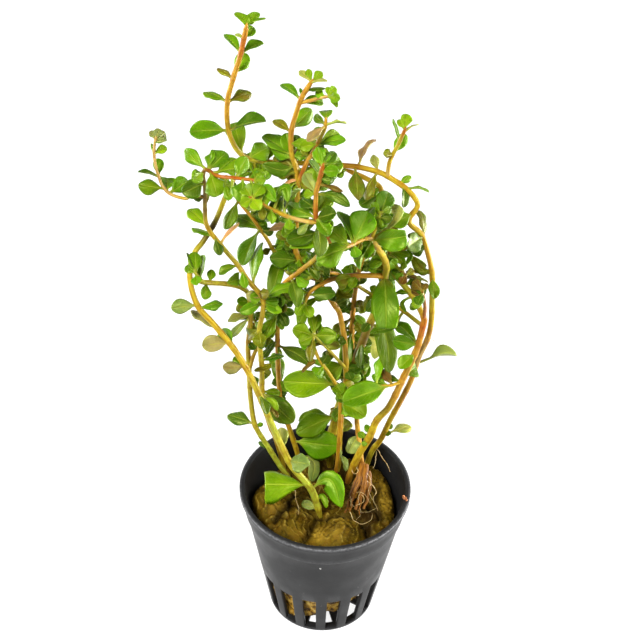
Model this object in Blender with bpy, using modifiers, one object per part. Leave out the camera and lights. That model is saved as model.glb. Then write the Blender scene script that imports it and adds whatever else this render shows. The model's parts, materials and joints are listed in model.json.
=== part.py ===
"""Dwarf rotala growing in a slotted net pot with a plug of mineral wool.

Metres, +Z up. The origin is on the ground under the pot's middle, and -Y is the front.
Stems and leaves are placed by where the front picture shows them: a point is a column and
a row of that picture, in pixels, and how far it lies behind the pot's middle, in millimetres.
"""

import math

import bmesh
import bpy
from mathutils import Vector
from mathutils.bvhtree import BVHTree
from mathutils.geometry import interpolate_bezier

OBJECT_NAME = "potted_dwarf_rotala"
MM = 0.001
GAP = 0.0003

# Net pot
POT_HEIGHT = 0.049
RIM_RADIUS = 0.026
RIM_DEPTH = 0.0012
LIP_WIDTH = 0.0016
COLLAR_FOOT_HEIGHT = 0.041
COLLAR_FOOT_RADIUS = 0.0244
COLLAR_STEP = 0.0005
BASE_RADIUS = 0.01675
WALL = 0.0012
FLOOR = 0.0012
POT_SIDES = 32
SLOT_COUNT = 16
SLOT_ANGLE = math.radians(12.4)
SLOT_TOP = 0.0176
FLOOR_HOLES = 8
FLOOR_HOLE_INNER = 0.0045
FLOOR_HOLE_OUTER = 0.0144
FLOOR_SPOKE = 0.0036

# Plug of mineral wool: the height of its middle, its slanting underside and the lumps on top,
# each lump an x, a y, a width and a rise in millimetres
WOOL_TOP = 0.0405
WOOL_UNDER = 0.0064
WOOL_UNDER_SLOPE = 0.42
WOOL_MIDDLE = 0.024
WOOL_SHOULDER = 0.0012
WOOL_FLOOR_CLEARANCE = 0.0008
WOOL_WALL_GAP = 0.0005
WOOL_SIDES = 24
WOOL_RINGS = 4
WOOL_LUMPS = (
    (-18, -3, 7, 4.2),
    (-10, -12, 6, 2.4),
    (5, -15, 6, 5.2),
    (16, 3, 5, 3.6),
    (13, 12, 5, 2.6),
    (18, -8, 6, 3.0),
    (-2, 4, 6, -3.5),
    (-14, 12, 6, -2.0),
    (9, 1, 4, 1.5),
)
STEM_SINK = 0.004
HOLE_TOP = 0.048

# The front picture's eye
PICTURE_MIDDLE = 320.0
LENS = 1400.0
EYE_HEIGHT_ANGLE = math.radians(39.824)
EYE_ROLL = math.radians(1.724)
EYE_TARGET = Vector((-0.00306, 0.0, 0.11405))
EYE_DISTANCE = 0.3833

# Leaves
LEAF_THICKNESS = 0.0005
LEAF_ASPECT_MIN = 0.40
LEAF_ASPECT_MAX = 0.62
LEAF_LEAN_LIMIT = 1.3
LARGE_LEAVES = 33
HIDDEN_LEAVES = 24
PETIOLE_RADIUS = 0.00035
STEM_SLACK = 0.00035
# Steps that a leaf's tip is moved by, and sizes it is shrunk to, until it is clear of the rest
TIP_STEP = 0.0009
TIP_STEPS = (0, 1, -1, 2, -2, 3, -3, 4, -4, 5, -5, 6, -6)
LEAF_SIZES = (1.0, 0.9, 0.75, 0.6, 0.45)
# Leaves on a stem's far side: length and width in pixels, turn from one to the next, and lean
HIDDEN_LENGTH = 9
HIDDEN_WIDTH = 11
HIDDEN_TURN = 2.4
HIDDEN_LEAN = -0.005
HIDDEN_SPACING = 4

# Stems: name, what it grows from, width at its foot and at its tip in millimetres, and its route
STEMS = (
    ("stem_left_front", None, 2.0, 1.2, (
        (321, 519, -5), (311, 489, -6), (291.7, 465.8, -6.5), (276.4, 435, -7), (258.5, 393.5, -8),
        (249.5, 374.6, -8), (240.5, 358.6, -8), (229, 342.5, -8), (212.7, 323, -7), (197.3, 305, -6),
        (189.7, 275.6, -4), (194.8, 252.7, -2), (202.4, 242.4, 0), (215, 222, 3), (225.4, 196.5, 6),
        (229, 189, 8), (236, 176, 9))),
    ("stem_left_pale", None, 1.5, 1.2, (
        (290, 478, 11), (280, 466, 10), (268.8, 448, 9), (256, 427.6, 8), (253, 416.6, 8),
        (250.4, 396, 7), (249.5, 381, 6), (248.6, 360.4, 6), (248, 348, 5.5), (249, 335, 5),
        (250.4, 322, 4), (250, 308, 3), (248.8, 295, 2), (242.5, 288, -1), (227, 284, -5),
        (209.5, 282.7, -9), (200.5, 281, -11), (195, 272, -12))),
    ("stem_left_rising", None, 1.6, 1.1, (
        (284, 468, 15), (277, 441, 12), (270, 425, 9), (264, 403, 5), (262, 389, 3), (262, 369, 1),
        (259.5, 343, -1), (259.3, 330, -2), (263, 310, -3), (262, 297, -4), (255.7, 289, -5),
        (247.7, 280, -5.5), (238, 265.4, -6), (222.9, 247.6, -7), (207.5, 227, -7.5),
        (205, 209.3, -10), (205, 190, -12), (204.5, 170, -13), (217.8, 176, -16), (236, 178, -20),
        (258.6, 181, -22))),
    ("stem_centre_left", None, 1.5, 0.95, (
        (300, 462, 16), (290, 430, 14), (281, 405, 13), (279.4, 389, 12), (278, 360, 9),
        (277.5, 330, 6), (278.5, 305, 4), (281, 288, 2), (297, 273, -4), (309, 264, -9),
        (318, 256, -13), (330, 241, -18), (317, 222, -24), (316, 194, -26), (319.8, 178.7, -27),
        (323.6, 163, -28))),
    ("stem_centre_tall", None, 1.6, 1.1, (
        (338, 470, 14), (341, 415, 12), (344, 395, 11), (346, 374, 10), (344.5, 340, 8.7),
        (342, 325, 8), (339, 312, 7.5), (333, 303, 7), (320, 284, 5), (311, 273, 4.5),
        (303, 265, 4), (295.5, 250, 3), (296, 225, 3), (297, 201.6, 2), (298, 184, 2),
        (296.8, 171, 2), (291.7, 153, 2), (291.2, 132.7, 2), (295.6, 114.8, 1), (302, 97, 0.5),
        (313.4, 79, 0))),
    ("stem_centre_low", None, 1.1, 0.9, (
        (336, 474, 10), (339, 440, 9), (340, 400, 6), (337, 387, 5), (328, 372, 4),
        (319, 359.5, 3), (313, 344, 3))),
    ("stem_thick", None, 2.7, 1.4, (
        (330, 468, 16), (331, 438, 17), (336, 418, 18), (341, 400, 17), (348, 379, 16),
        (356, 358, 14), (364, 338, 12), (371, 321, 9), (380, 298, 4), (385, 276, 0),
        (386.5, 267, -3), (383, 256, -7), (379, 250, -10), (371, 238, -14))),
    ("stem_thick_back", None, 1.6, 1.2, (
        (353, 505, 0), (357, 485, 4), (361, 468, 8), (359, 440, 13), (357, 422, 18),
        (357, 405, 20), (355.5, 385, 21), (354, 365, 21), (352, 345, 20), (352, 325, 18),
        (353, 310, 16), (356, 286, 12), (360.5, 264, 10), (364, 257, 9))),
    ("stem_right_inner", None, 2.1, 1.2, (
        (347, 484, 9), (358, 456, 6), (370, 436, 4), (377, 420, 3), (389, 407, 2),
        (404, 376.5, 0), (417, 348.5, -1), (423, 325.5, -2), (424, 318, -2), (414, 298, 0),
        (404, 285.5, 2), (394.5, 274, 3), (391, 266, 4), (389.5, 254, 4), (388, 240, 5),
        (385, 215, 6), (380, 188, 9), (367, 179, 11), (353.8, 173, 11), (344, 169, 11))),
    ("stem_right_arch", None, 1.6, 1.1, (
        (366, 468, 15), (372, 451, 14), (381, 439, 13), (390, 420, 11), (401.4, 399.5, 9),
        (411.6, 379, 7), (419.3, 356, 5), (427, 340, 4), (431, 324, 3), (432, 300, 3),
        (432, 273, 3), (427, 250, 4), (421, 234, 5), (409, 221, 5), (417.5, 206, 6),
        (414, 197, 6), (404, 187, 7), (393.6, 180, 8), (381, 173, 8), (360.6, 167.5, 8),
        (344, 165.5, 8), (320, 164, 9), (298, 163, 10), (274, 162.5, 8), (260, 161, 6),
        (250, 159.5, 4), (242, 155, 3), (234, 145, 2), (228, 128, 1), (227.4, 102, 0),
        (233, 79, -1), (240.7, 53.6, -2), (247, 23, -4))),
    ("shoot_left_twin", "stem_left_pale", 1.1, 0.8, (
        (250, 370, 6), (253, 357, 5), (258.4, 342.5, 5), (256.6, 335.4, 6), (254.8, 319.3, 7))),
    ("shoot_left_curl", "stem_left_rising", 0.8, 0.6, (
        (203.5, 197, -11), (192, 196, -12), (184.6, 198.5, -10), (166.7, 191.3, -8),
        (157.8, 173.5, -8), (154, 153, -9), (156, 136, -10))),
    ("shoot_front_left", "stem_centre_left", 1.0, 0.7, (
        (316, 222, -24), (309.6, 222, -25), (289, 217, -26), (271, 209, -26), (248.4, 196.5, -28))),
    ("shoot_centre_fork", "stem_centre_tall", 1.0, 0.8, (
        (298, 184, 2), (304.6, 166.6, 0), (312, 153, -1), (318, 142, -1), (325, 128, -2),
        (326, 117, -2))),
    ("shoot_centre_top", "stem_centre_tall", 0.9, 0.7, (
        (305, 106, 1), (313, 100, 0), (320.7, 97.5, -1), (330.5, 96.5, -2))),
    ("shoot_arch_side", "stem_right_arch", 1.1, 0.8, (
        (386, 177, 8), (390, 160.7, 7), (399, 143, 6), (406, 127, 5))),
    ("shoot_across", "stem_thick", 1.4, 0.9, (
        (384, 275, 0), (370, 275.5, -2), (343.6, 276.4, -1.5), (330, 280, -1.5), (319.5, 285.4, -1.5),
        (311.4, 290.7, -2), (307, 297, -2.5), (304.3, 305, -3))),
    ("shoot_right_cross", "stem_right_inner", 1.1, 0.8, (
        (424, 327, -2), (419.6, 323.5, 1), (395, 305, 7), (378, 297, 9), (370, 293.5, 9.5),
        (358, 286, 8.5), (346, 279, 7.5), (338, 274, 6), (326, 272.5, 1))),
    ("shoot_right_dry", "stem_right_inner", 1.0, 0.7, (
        (424, 318, -3), (425, 308, -6), (424, 299, -8), (422, 290, -9))),
    ("shoot_right_low", "stem_right_inner", 0.9, 0.6, (
        (402, 381, 0), (390, 385.5, -2), (374, 386, -3))),
    ("shoot_right_twig", "stem_right_inner", 0.9, 0.6, (
        (391, 263, 3), (399, 269, 0), (407, 276.5, -2))),
    ("shoot_rosette", "stem_centre_tall", 0.9, 0.7, (
        (345, 366, 10), (336, 357.7, 5), (324, 345, 0), (312, 333.6, -5))),
    ("shoot_left_back", "stem_centre_tall", 1.1, 0.8, (
        (297, 262, 4), (286, 257, 6), (275, 252, 8), (267.5, 239.8, 9), (260.4, 229, 9),
        (250.5, 215.7, 9), (240.7, 203.7, 11), (234, 195, 12))),
    ("shoot_thick_near", "stem_thick", 1.1, 0.8, (
        (371, 238, -14), (364, 239, -17), (356, 242.5, -20), (347, 247.5, -24))),
    ("shoot_thick_up", "stem_thick", 1.0, 0.7, (
        (371, 238, -14), (375, 229, -13.5), (379, 217.5, -13), (381, 212, -13))),
)

# Leaves by stem: column and row of the foot, of the tip, the width seen, and a tone:
# g green, y yellow-green, d dark, o olive, p pale, r reddish, b brown. Two more numbers are a
# column and a row that a bent leaf's middle passes through.
LEAVES = {
    "stem_right_arch": (
        (247, 22, 233.6, 11.5, 6, "y"), (247, 22, 260, 11.5, 9, "y"), (249, 23, 266, 18.6, 4, "g"),
        (246, 38, 256, 26, 10, "g"), (246, 38, 237, 33.7, 3, "p"), (240, 55, 223.4, 36, 8, "y"),
        (241, 55, 264, 44.6, 6, "g"), (237, 76.5, 249.6, 55, 13, "y"), (234, 78, 218.5, 66, 7, "o"),
        (226, 102, 202, 90, 9, "g"), (229, 104, 254, 94, 8, "o"), (226, 133, 187, 133.5, 14.5, "g"),
        (230, 130, 267, 119, 10, "d"), (242.5, 153.6, 233.6, 119, 15, "y"),
        (247, 158, 268, 147, 16, "y"), (358, 167, 375.2, 138, 5, "r"), (379.6, 171, 375.6, 152.5, 8, "p"),
        (354, 166, 357.3, 199.6, 15, "o"), (377, 173, 362, 199.6, 9, "o"), (407, 188, 430.8, 190, 3.5, "g"),
        (402, 187, 404, 208.6, 6, "d"), (427, 238, 425.3, 207.7, 5, "o"), (425, 234, 411, 245, 17, "p"),
        (413, 213, 391, 223, 14, "g"), (431, 278.8, 433.6, 299.7, 10, "g"),
        (419.3, 366, 458.6, 354.6, 11, "p"),
        (382.5, 437.2, 411.8, 427, 9, "p"), (366, 470.4, 361.5, 458.3, 4, "y"), (385, 430, 392, 425, 5, "g"),
        (384, 433, 391, 434, 5, "g"), (424, 271, 411, 256, 10, "o"), (400, 182, 412.9, 174.7, 7, "g")),
    "shoot_left_curl": (
        (154, 137.5, 164.4, 134, 10, "g"), (156.8, 142, 164, 141.5, 4, "g"),
        (154.6, 154, 167.7, 148, 7.5, "y"),
        (152, 156, 149, 143, 4.5, "g"), (158, 176, 158, 157.6, 9, "g"), (157, 178, 136, 173, 4.5, "d"),
        (163, 190, 137, 186, 12.5, "g"), (168, 191, 168.4, 177.7, 15, "y"),
        (168.4, 192, 188, 178.6, 14, "g"),
        (186, 198, 158, 207, 6, "d")),
    "stem_left_rising": (
        (206, 170.5, 182.7, 150, 16, "g"), (207.7, 169, 227, 150, 16, "g"), (208.6, 168, 214, 147, 8, "y"),
        (208, 174, 215, 198.7, 18, "g"), (212, 173, 249.6, 168, 11, "y"), (215.7, 174, 237, 155.4, 6, "g"),
        (204, 171.4, 192.5, 179.5, 12, "g"), (205, 183, 183.6, 193, 16, "d"), (236, 177, 247, 156, 13, "y"),
        (243.4, 179.5, 240.7, 202, 15, "y"), (258, 182, 264, 199, 12, "y"), (258, 181, 263, 169, 10, "g"),
        (258, 181, 269, 180, 9, "y"), (206, 209.5, 209, 189, 5, "o"), (205, 228, 185.4, 208.6, 11, "y"),
        (213, 239, 190.3, 228.7, 6, "g"), (213, 240, 218.8, 258, 7, "d"), (220.6, 243, 239, 220, 5, "r"),
        (253, 286, 258, 240, 13, "g"), (238, 267, 218.4, 274.6, 7, "g"), (258, 293, 268, 297, 7, "b"),
        (263, 303, 240, 312, 10, "g"), (264, 390.7, 294, 422, 22, "d"), (263, 299.6, 295, 285.4, 9, "g"),
        (262, 362, 285, 358, 7, "d")),
    "shoot_left_back": (
        (262, 230, 233.6, 213, 10, "g"), (262, 232, 288, 224, 4, "r"), (260.4, 230, 242.5, 266.6, 9, "g"),
        (237, 201, 223, 229, 9, "g"), (279, 268, 271, 297, 14, "g"), (235, 196, 247, 188, 8, "y"),
        (235, 196, 229, 182, 7, "y")),
    "stem_left_pale": (
        (194.3, 271, 193.4, 249, 12, "g"), (194, 271, 185.4, 249.6, 6, "d"), (201, 281, 202.8, 254, 10, "y"),
        (195, 274, 185.4, 265.7, 9, "g"), (196.5, 276, 196.5, 286, 9, "y"), (209.5, 282, 212, 268.4, 7, "g"),
        (225, 284, 240.7, 279, 11, "y"), (206, 284, 205, 301, 9, "g"), (254, 424, 226, 414, 12, "d"),
        (255, 426, 263, 424, 4, "g"), (270.8, 451, 258.7, 441, 4, "d"), (250, 320, 238, 314, 9, "y"),
        (249, 303, 235.4, 310.4, 9, "g"), (250, 318, 230, 339, 6, "p"), (250, 316, 227, 321, 8, "p")),
    "shoot_left_twin": (
        (255, 322, 260, 326, 6, "y"), (255, 322, 262, 312, 6, "g"), (255, 321, 250, 311, 6, "y")),
    "stem_left_front": (
        (199, 307, 222, 301, 9, "g"), (198, 306, 171.8, 308.8, 12, "o"), (222, 334, 193, 308, 10, "b"),
        (228, 343, 201, 346, 14, "o"), (245, 367, 222.3, 367.6, 11, "p"), (234, 349, 222, 330, 12, "g"),
        (244, 365.7, 232.5, 356, 9, "g"), (257, 390, 252, 374, 4, "d"), (283, 448, 279, 424, 12, "p"),
        (289, 458, 309, 461, 16, "p"), (308, 484, 265, 483, 27, "g"),
        (312.5, 490, 340.4, 508.7, 20, "y", 331, 480), (319, 507, 301.4, 500.4, 8, "p"),
        (322, 497, 326, 508, 6, "g"), (231, 186, 222, 176, 8, "y"), (235, 177, 230, 166, 7, "y"),
        (236, 177, 246, 170, 7, "y")),
    "stem_centre_left": (
        (277.5, 388, 272.6, 351, 12, "y"), (277.5, 344, 311, 361, 13, "d"), (277.5, 347, 281, 360, 4, "g"),
        (277, 338, 261, 356, 8, "d"), (278, 313, 264, 337, 10, "g"), (291, 279, 298, 307.7, 13, "g"),
        (325, 234, 287, 242.5, 14, "d"), (316, 216, 286.3, 202.3, 14, "g"), (323.6, 163, 317, 145, 12, "y"),
        (323.8, 163, 328, 149, 9, "y"), (321, 174, 340.8, 160, 15, "y"), (320, 175, 308.7, 159, 6, "p"),
        (316.5, 193, 305, 172, 12, "p"), (317, 213, 331.4, 192.5, 16, "y"), (318, 219, 331, 237, 12, "g"),
        (317, 222, 320.4, 256, 12, "d"), (293.8, 441.6, 338.9, 448, 26, "g"),
        (298, 455, 311, 480, 7, "p", 313, 460)),
    "shoot_front_left": (
        (308.6, 222, 297, 234, 6, "p"), (276.4, 212, 276.4, 196, 13, "d"), (283.6, 215, 299.6, 188, 3, "d"),
        (249, 197, 241, 184, 11, "y"), (249, 197, 259, 183, 11, "y"), (250, 198, 258, 209, 10, "y"),
        (249, 197, 237, 203, 9, "g")),
    "stem_centre_low": (
        (335, 384, 283, 381, 24, "g"), (314, 362, 301.7, 372.4, 4, "b"), (339, 401, 364.4, 417, 20, "g"),
        (324, 366, 316.4, 376.4, 12, "g")),
    "stem_centre_tall": (
        (345, 376, 318, 379, 5, "d"), (345, 362, 318, 378, 20, "g"), (297.5, 262, 267.5, 259.5, 15, "d"),
        (296.5, 223, 286.3, 235.4, 10, "g"), (313, 79, 300.7, 67.6, 6, "p"), (313, 79, 309.6, 65.8, 6, "y"),
        (313, 79, 324, 69, 8, "y"), (312, 81, 328, 80, 3, "p"), (301, 100, 281, 83, 6, "y"),
        (301, 96, 299, 87, 3, "g"), (306, 91, 325.6, 87.6, 5, "d"), (291.3, 132.7, 273, 118.6, 8, "o"),
        (292, 131, 312.7, 109.5, 15, "g"), (291.5, 149.6, 301, 137, 9, "d"),
        (293, 159.5, 299.8, 143.4, 5, "p"),
        (293, 160.4, 269.8, 149.6, 15, "g"), (291, 157, 284, 134, 15, "g"), (292, 157, 261.8, 137, 13, "g"),
        (297.5, 176.4, 278.8, 164.8, 12, "g"), (297, 184, 286, 200.5, 9, "g"),
        (297.5, 181, 270, 194, 9, "g"),
        (303, 105, 328, 104, 8, "y"), (340, 436, 348.7, 422, 13, "o"), (341, 443, 340.7, 476.8, 8, "p"),
        (340, 452, 347.4, 471, 6, "g"), (296, 230, 308, 214, 9, "g"), (335, 306, 350, 298, 9, "d")),
    "stem_thick_back": (
        (352.3, 332.3, 345, 369.8, 14, "g"), (352, 318.4, 333.4, 339.8, 8, "o"),
        (358, 434, 348, 453, 14, "g"),
        (352, 312, 345, 303, 7, "g"), (353, 311, 361, 304, 7, "g"), (361, 262, 352, 250, 9, "d"),
        (363, 258, 374, 250, 8, "g"), (357, 285, 366, 275, 9, "d")),
    "shoot_rosette": (
        (312, 333, 334.3, 332.7, 15, "g"), (312, 333, 290.5, 326.4, 14, "y"),
        (312, 334, 296.8, 341.6, 12, "g"),
        (313, 333, 318, 311.3, 8, "g"), (312, 333, 308, 309.5, 8, "y"), (312, 334, 308.4, 360.4, 8, "o"),
        (322, 343, 340.5, 346, 9, "o")),
    "shoot_centre_fork": (
        (326, 120, 326.5, 108, 12, "y"), (326, 124, 347, 122, 3, "p"), (325, 125, 313.6, 115.7, 8, "d"),
        (317.5, 143, 341.7, 133, 14, "g"), (318, 142, 320, 126, 10, "y"), (316, 146, 345.7, 140, 7, "d"),
        (325, 127, 306, 141, 8, "r")),
    "shoot_centre_top": (
        (326, 97, 316, 91.5, 8, "y"), (329.6, 97, 336, 87, 8, "y"), (330, 97, 341, 98.8, 10, "y"),
        (330, 97, 338.5, 107.5, 4, "g"), (330, 96, 329, 86, 6, "y")),
    "shoot_arch_side": (
        (405, 130, 406.5, 114, 10, "y"), (399, 142, 392.5, 118, 4, "g"), (404, 133, 419, 124, 3.5, "p"),
        (393, 156, 406.5, 134, 11, "y"), (392, 155, 383, 153, 8, "o"), (405, 129, 398, 119, 6, "y")),
    "stem_thick": (
        (373, 236, 407, 232.7, 20, "g"), (369, 238, 355, 266.6, 8, "d"), (385.4, 277, 387, 328.8, 25, "g"),
        (370, 324, 391.6, 370.7, 17, "g", 384, 332), (371, 322, 362, 333, 7, "d"),
        (365, 336, 374, 360, 9, "p", 376, 344),
        (363, 341, 359.5, 368, 9, "d"), (337, 415, 296.8, 432.7, 20, "g"), (336, 419, 298, 418, 8, "g"),
        (381, 295, 366, 312, 10, "d"), (342, 397, 352, 388, 8, "g")),
    "shoot_thick_near": (
        (347, 248, 315, 260.4, 21, "g"), (350, 246, 330, 229, 17, "g"), (349, 246, 326, 246, 9, "d"),
        (352.5, 244, 368.6, 211.3, 21, "g"), (354, 243, 372, 204, 14, "d"), (353, 243, 338.5, 209, 10, "p")),
    "shoot_thick_up": (
        (378, 219, 389, 189.8, 17, "d"), (380, 214, 371, 203, 9, "g"), (381, 213, 392, 208, 8, "p")),
    "stem_right_inner": (
        (389, 277, 394, 298, 6, "g"), (410, 293, 394.3, 292.6, 4, "g"), (416, 301, 410.7, 309.7, 7, "d"),
        (389.5, 251.4, 409.6, 255, 6, "g"), (389.5, 252, 406, 264.8, 5, "g"), (389, 250, 412.3, 246, 5, "o"),
        (418, 345.7, 394.3, 322.5, 9, "d"), (418, 345.7, 392.5, 341.3, 14, "g"),
        (404, 379, 417, 369, 15, "g"),
        (368, 438, 358, 430.5, 6, "g"), (370, 436, 366, 424, 6, "g"), (373, 431, 376, 421, 6, "g"),
        (368, 439, 362, 445, 5, "g"), (345, 169, 335, 175, 8, "y"), (345, 169, 334, 163, 9, "y"),
        (387, 228, 397, 218, 9, "p"), (381, 190, 371, 196, 8, "g"), (386, 222, 378, 236, 8, "d")),
    "shoot_right_low": (
        (390, 385.5, 342.8, 402, 22, "g"), (375, 386, 378, 354.6, 7, "y"), (388, 386, 372, 375, 7, "g"),
        (391, 385, 381, 369, 10, "b")),
    "shoot_right_dry": (
        (422, 291, 413, 280, 10, "b"), (422, 291, 427, 283, 6, "b"), (423, 296, 411, 290, 7, "b")),
    "shoot_right_twig": (
        (407, 276, 403, 285, 8, "b"), (406, 276, 414, 270, 7, "o"), (401, 271, 404, 262, 6, "g")),
    "shoot_right_cross": (
        (378, 297, 372, 308, 8, "d"), (345, 279, 338, 289, 8, "g"), (327, 272, 322, 262, 9, "g"),
        (326, 272.5, 319, 278, 8, "g")),
    "shoot_across": (
        (305, 304, 311, 318, 9, "g"), (305, 303, 296, 316, 9, "g"), (352, 280, 335, 286, 11, "o"),
        (311, 297, 338, 296, 12, "d"),
        (330, 280, 322, 268, 8, "d"), (356, 276, 349, 288, 9, "g")),
}

TONES = {
    "g": (0.115, 0.340, 0.010), "y": (0.230, 0.480, 0.012), "d": (0.035, 0.130, 0.010),
    "o": (0.150, 0.200, 0.012), "p": (0.330, 0.480, 0.160), "r": (0.480, 0.260, 0.120),
    "b": (0.180, 0.090, 0.030),
}
POT_COLOUR = (0.062, 0.062, 0.064)
WOOL_COLOUR = (0.150, 0.105, 0.012)
STEM_COLOUR = (0.560, 0.330, 0.020)


def eye_axes():
    """Right, up and backwards of the picture's eye, and where the eye is."""
    back = Vector((0, -math.cos(EYE_HEIGHT_ANGLE), math.sin(EYE_HEIGHT_ANGLE)))
    level = Vector((1, 0, 0))
    upright = back.cross(level)
    right = math.cos(EYE_ROLL) * level + math.sin(EYE_ROLL) * upright
    up = math.cos(EYE_ROLL) * upright - math.sin(EYE_ROLL) * level
    return right, up, back, EYE_TARGET + back * EYE_DISTANCE


RIGHT, UP, BACK, EYE = eye_axes()


def seen(column, row, behind):
    """The point that the picture shows at a column and row, at a distance behind the middle."""
    ray = RIGHT * (column - PICTURE_MIDDLE) / LENS - UP * (row - PICTURE_MIDDLE) / LENS - BACK
    return EYE + ray * ((behind * MM - EYE.y) / ray.y)


def shown(point):
    """Column and row of a point in the picture."""
    arm = point - EYE
    depth = -arm.dot(BACK)
    return Vector((PICTURE_MIDDLE + LENS * arm.dot(RIGHT) / depth,
                   PICTURE_MIDDLE - LENS * arm.dot(UP) / depth))


def smooth(points, steps=6):
    """A smooth line through points, with steps pieces between each two."""
    last = len(points) - 1
    tangents = [(points[min(i + 1, last)] - points[max(i - 1, 0)]).normalized() for i in range(last + 1)]
    line = []
    for i in range(last):
        start, end = points[i], points[i + 1]
        reach = (end - start).length / 3
        leaving, arriving = start + tangents[i] * reach, end - tangents[i + 1] * reach
        line += interpolate_bezier(start, leaving, arriving, end, steps + 1)[:-1]
    return line + [points[-1]]


def thinned(line, slack):
    """The fewest of a line's points that keep it within slack of its course."""
    start, end = line[0], line[-1]
    along = (end - start).normalized()
    offsets = [((p - start) - along * (p - start).dot(along)).length for p in line]
    far = max(range(len(line)), key=offsets.__getitem__)
    if offsets[far] <= slack:
        return [start, end]
    return thinned(line[:far + 1], slack)[:-1] + thinned(line[far:], slack)


def nearest(line, column, row):
    """Index of the point of a line that the picture shows nearest to a column and row."""
    spot = Vector((column, row))
    return min(range(len(line)), key=lambda i: (shown(line[i]) - spot).length)


def material(name, colour, roughness):
    """One Principled material."""
    made = bpy.data.materials.get(name)
    if made is None:
        made = bpy.data.materials.new(name)
        made.use_nodes = True
        shader = made.node_tree.nodes["Principled BSDF"]
        shader.inputs["Base Color"].default_value = (*colour, 1.0)
        shader.inputs["Roughness"].default_value = roughness
        shader.inputs["Metallic"].default_value = 0.0
    return made


def add_object(name, mesh, collection, finish=None):
    """A new object in a collection."""
    thing = bpy.data.objects.new(name, mesh)
    collection.objects.link(thing)
    if finish:
        mesh.materials.clear()
        mesh.materials.append(finish)
    return thing


def hide_cutter(cutter):
    """Keeps a cutter or a guide out of sight."""
    cutter.hide_render = True
    cutter.display_type = "WIRE"


def boolean(thing, operand, operation):
    """A Boolean modifier with one object or a whole collection."""
    cut = thing.modifiers.new("cut" if operation == "DIFFERENCE" else "join", "BOOLEAN")
    cut.operation = operation
    cut.solver = "EXACT"
    if isinstance(operand, bpy.types.Collection):
        cut.operand_type = "COLLECTION"
        cut.collection = operand
    else:
        cut.object = operand
    return cut


def tube_mesh(name, line, start_width, end_width):
    """A closed tapering tube along a line, as a mesh."""
    curve = bpy.data.curves.new(name, "CURVE")
    curve.dimensions = "3D"
    curve.bevel_depth = 1.0
    curve.bevel_resolution = 1
    curve.use_fill_caps = True
    spline = curve.splines.new("POLY")
    spline.points.add(len(line) - 1)
    lengths = [0.0]
    for before, after in zip(line, line[1:]):
        lengths.append(lengths[-1] + (after - before).length)
    for point, place, length in zip(spline.points, line, lengths):
        point.co = (*place, 1.0)
        share = length / lengths[-1]
        point.radius = (start_width + (end_width - start_width) * share) / 2
    holder = bpy.data.objects.new(name, curve)
    bpy.context.scene.collection.objects.link(holder)
    graph = bpy.context.evaluated_depsgraph_get()
    mesh = bpy.data.meshes.new_from_object(holder.evaluated_get(graph))
    bpy.data.objects.remove(holder)
    bpy.data.curves.remove(curve)
    shape = bmesh.new()
    shape.from_mesh(mesh)
    bmesh.ops.remove_doubles(shape, verts=shape.verts, dist=0.000001)
    shape.to_mesh(mesh)
    shape.free()
    mesh.shade_smooth()
    mesh.name = name
    return mesh


def make_pot(parts, cutters):
    """The net pot: a turned cup with sixteen slots and a spoked floor."""
    inner_base = BASE_RADIUS - WALL
    profile = (
        (0.0, FLOOR), (inner_base, FLOOR), (RIM_RADIUS - LIP_WIDTH, POT_HEIGHT), (RIM_RADIUS, POT_HEIGHT),
        (RIM_RADIUS, POT_HEIGHT - RIM_DEPTH), (COLLAR_FOOT_RADIUS, COLLAR_FOOT_HEIGHT),
        (COLLAR_FOOT_RADIUS - COLLAR_STEP, COLLAR_FOOT_HEIGHT - COLLAR_STEP), (BASE_RADIUS, 0.0), (0.0, 0.0),
    )
    shape = bmesh.new()
    corners = [shape.verts.new((radius, 0, height)) for radius, height in profile]
    for before, after in zip(corners, corners[1:]):
        shape.edges.new((before, after))
    mesh = bpy.data.meshes.new("net_pot")
    shape.to_mesh(mesh)
    shape.free()
    pot = add_object("net_pot", mesh, parts, material("pot_plastic", POT_COLOUR, 0.45))
    turn = pot.modifiers.new("turn", "SCREW")
    turn.steps = turn.render_steps = POT_SIDES
    turn.use_merge_vertices = True
    turn.merge_threshold = 0.00001
    for k in range(SLOT_COUNT):
        angle = 2 * math.pi * (k + 0.5) / SLOT_COUNT - math.pi / 2
        cutter = wedge("slot_cutter", SLOT_ANGLE, BASE_RADIUS - 2.6 * WALL, RIM_RADIUS, FLOOR, SLOT_TOP)
        slot = add_object(f"slot_cutter_{k + 1:02d}", cutter, cutters)
        slot.rotation_euler.z = angle
    for k in range(FLOOR_HOLES):
        angle = 2 * math.pi * k / FLOOR_HOLES - math.pi / 2
        share = 2 * math.pi / FLOOR_HOLES - 2 * math.asin(FLOOR_SPOKE / 2 / FLOOR_HOLE_OUTER)
        cutter = wedge("floor_cutter", share, FLOOR_HOLE_INNER, FLOOR_HOLE_OUTER, -FLOOR, 2 * FLOOR)
        hole = add_object(f"floor_cutter_{k + 1:02d}", cutter, cutters)
        hole.rotation_euler.z = angle
    boolean(pot, cutters, "DIFFERENCE")
    return pot


def wedge(name, angle, inner, outer, low, high):
    """A block that widens with its distance from the middle, from an inner to an outer radius."""
    shape = bmesh.new()
    bmesh.ops.create_cube(shape, size=1.0)
    for vert in shape.verts:
        radius = outer if vert.co.x > 0 else inner
        side = math.tan(angle / 2) * radius
        vert.co = (radius, side if vert.co.y > 0 else -side, high if vert.co.z > 0 else low)
    mesh = bpy.data.meshes.new(name)
    shape.to_mesh(mesh)
    shape.free()
    return mesh


def wool_top(x, y):
    """Height of the wool's lumpy top."""
    height = WOOL_TOP
    for lump_x, lump_y, spread, rise in WOOL_LUMPS:
        away = ((x / MM - lump_x) ** 2 + (y / MM - lump_y) ** 2) / spread ** 2
        height += rise * MM * math.exp(-away)
    return height


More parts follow.
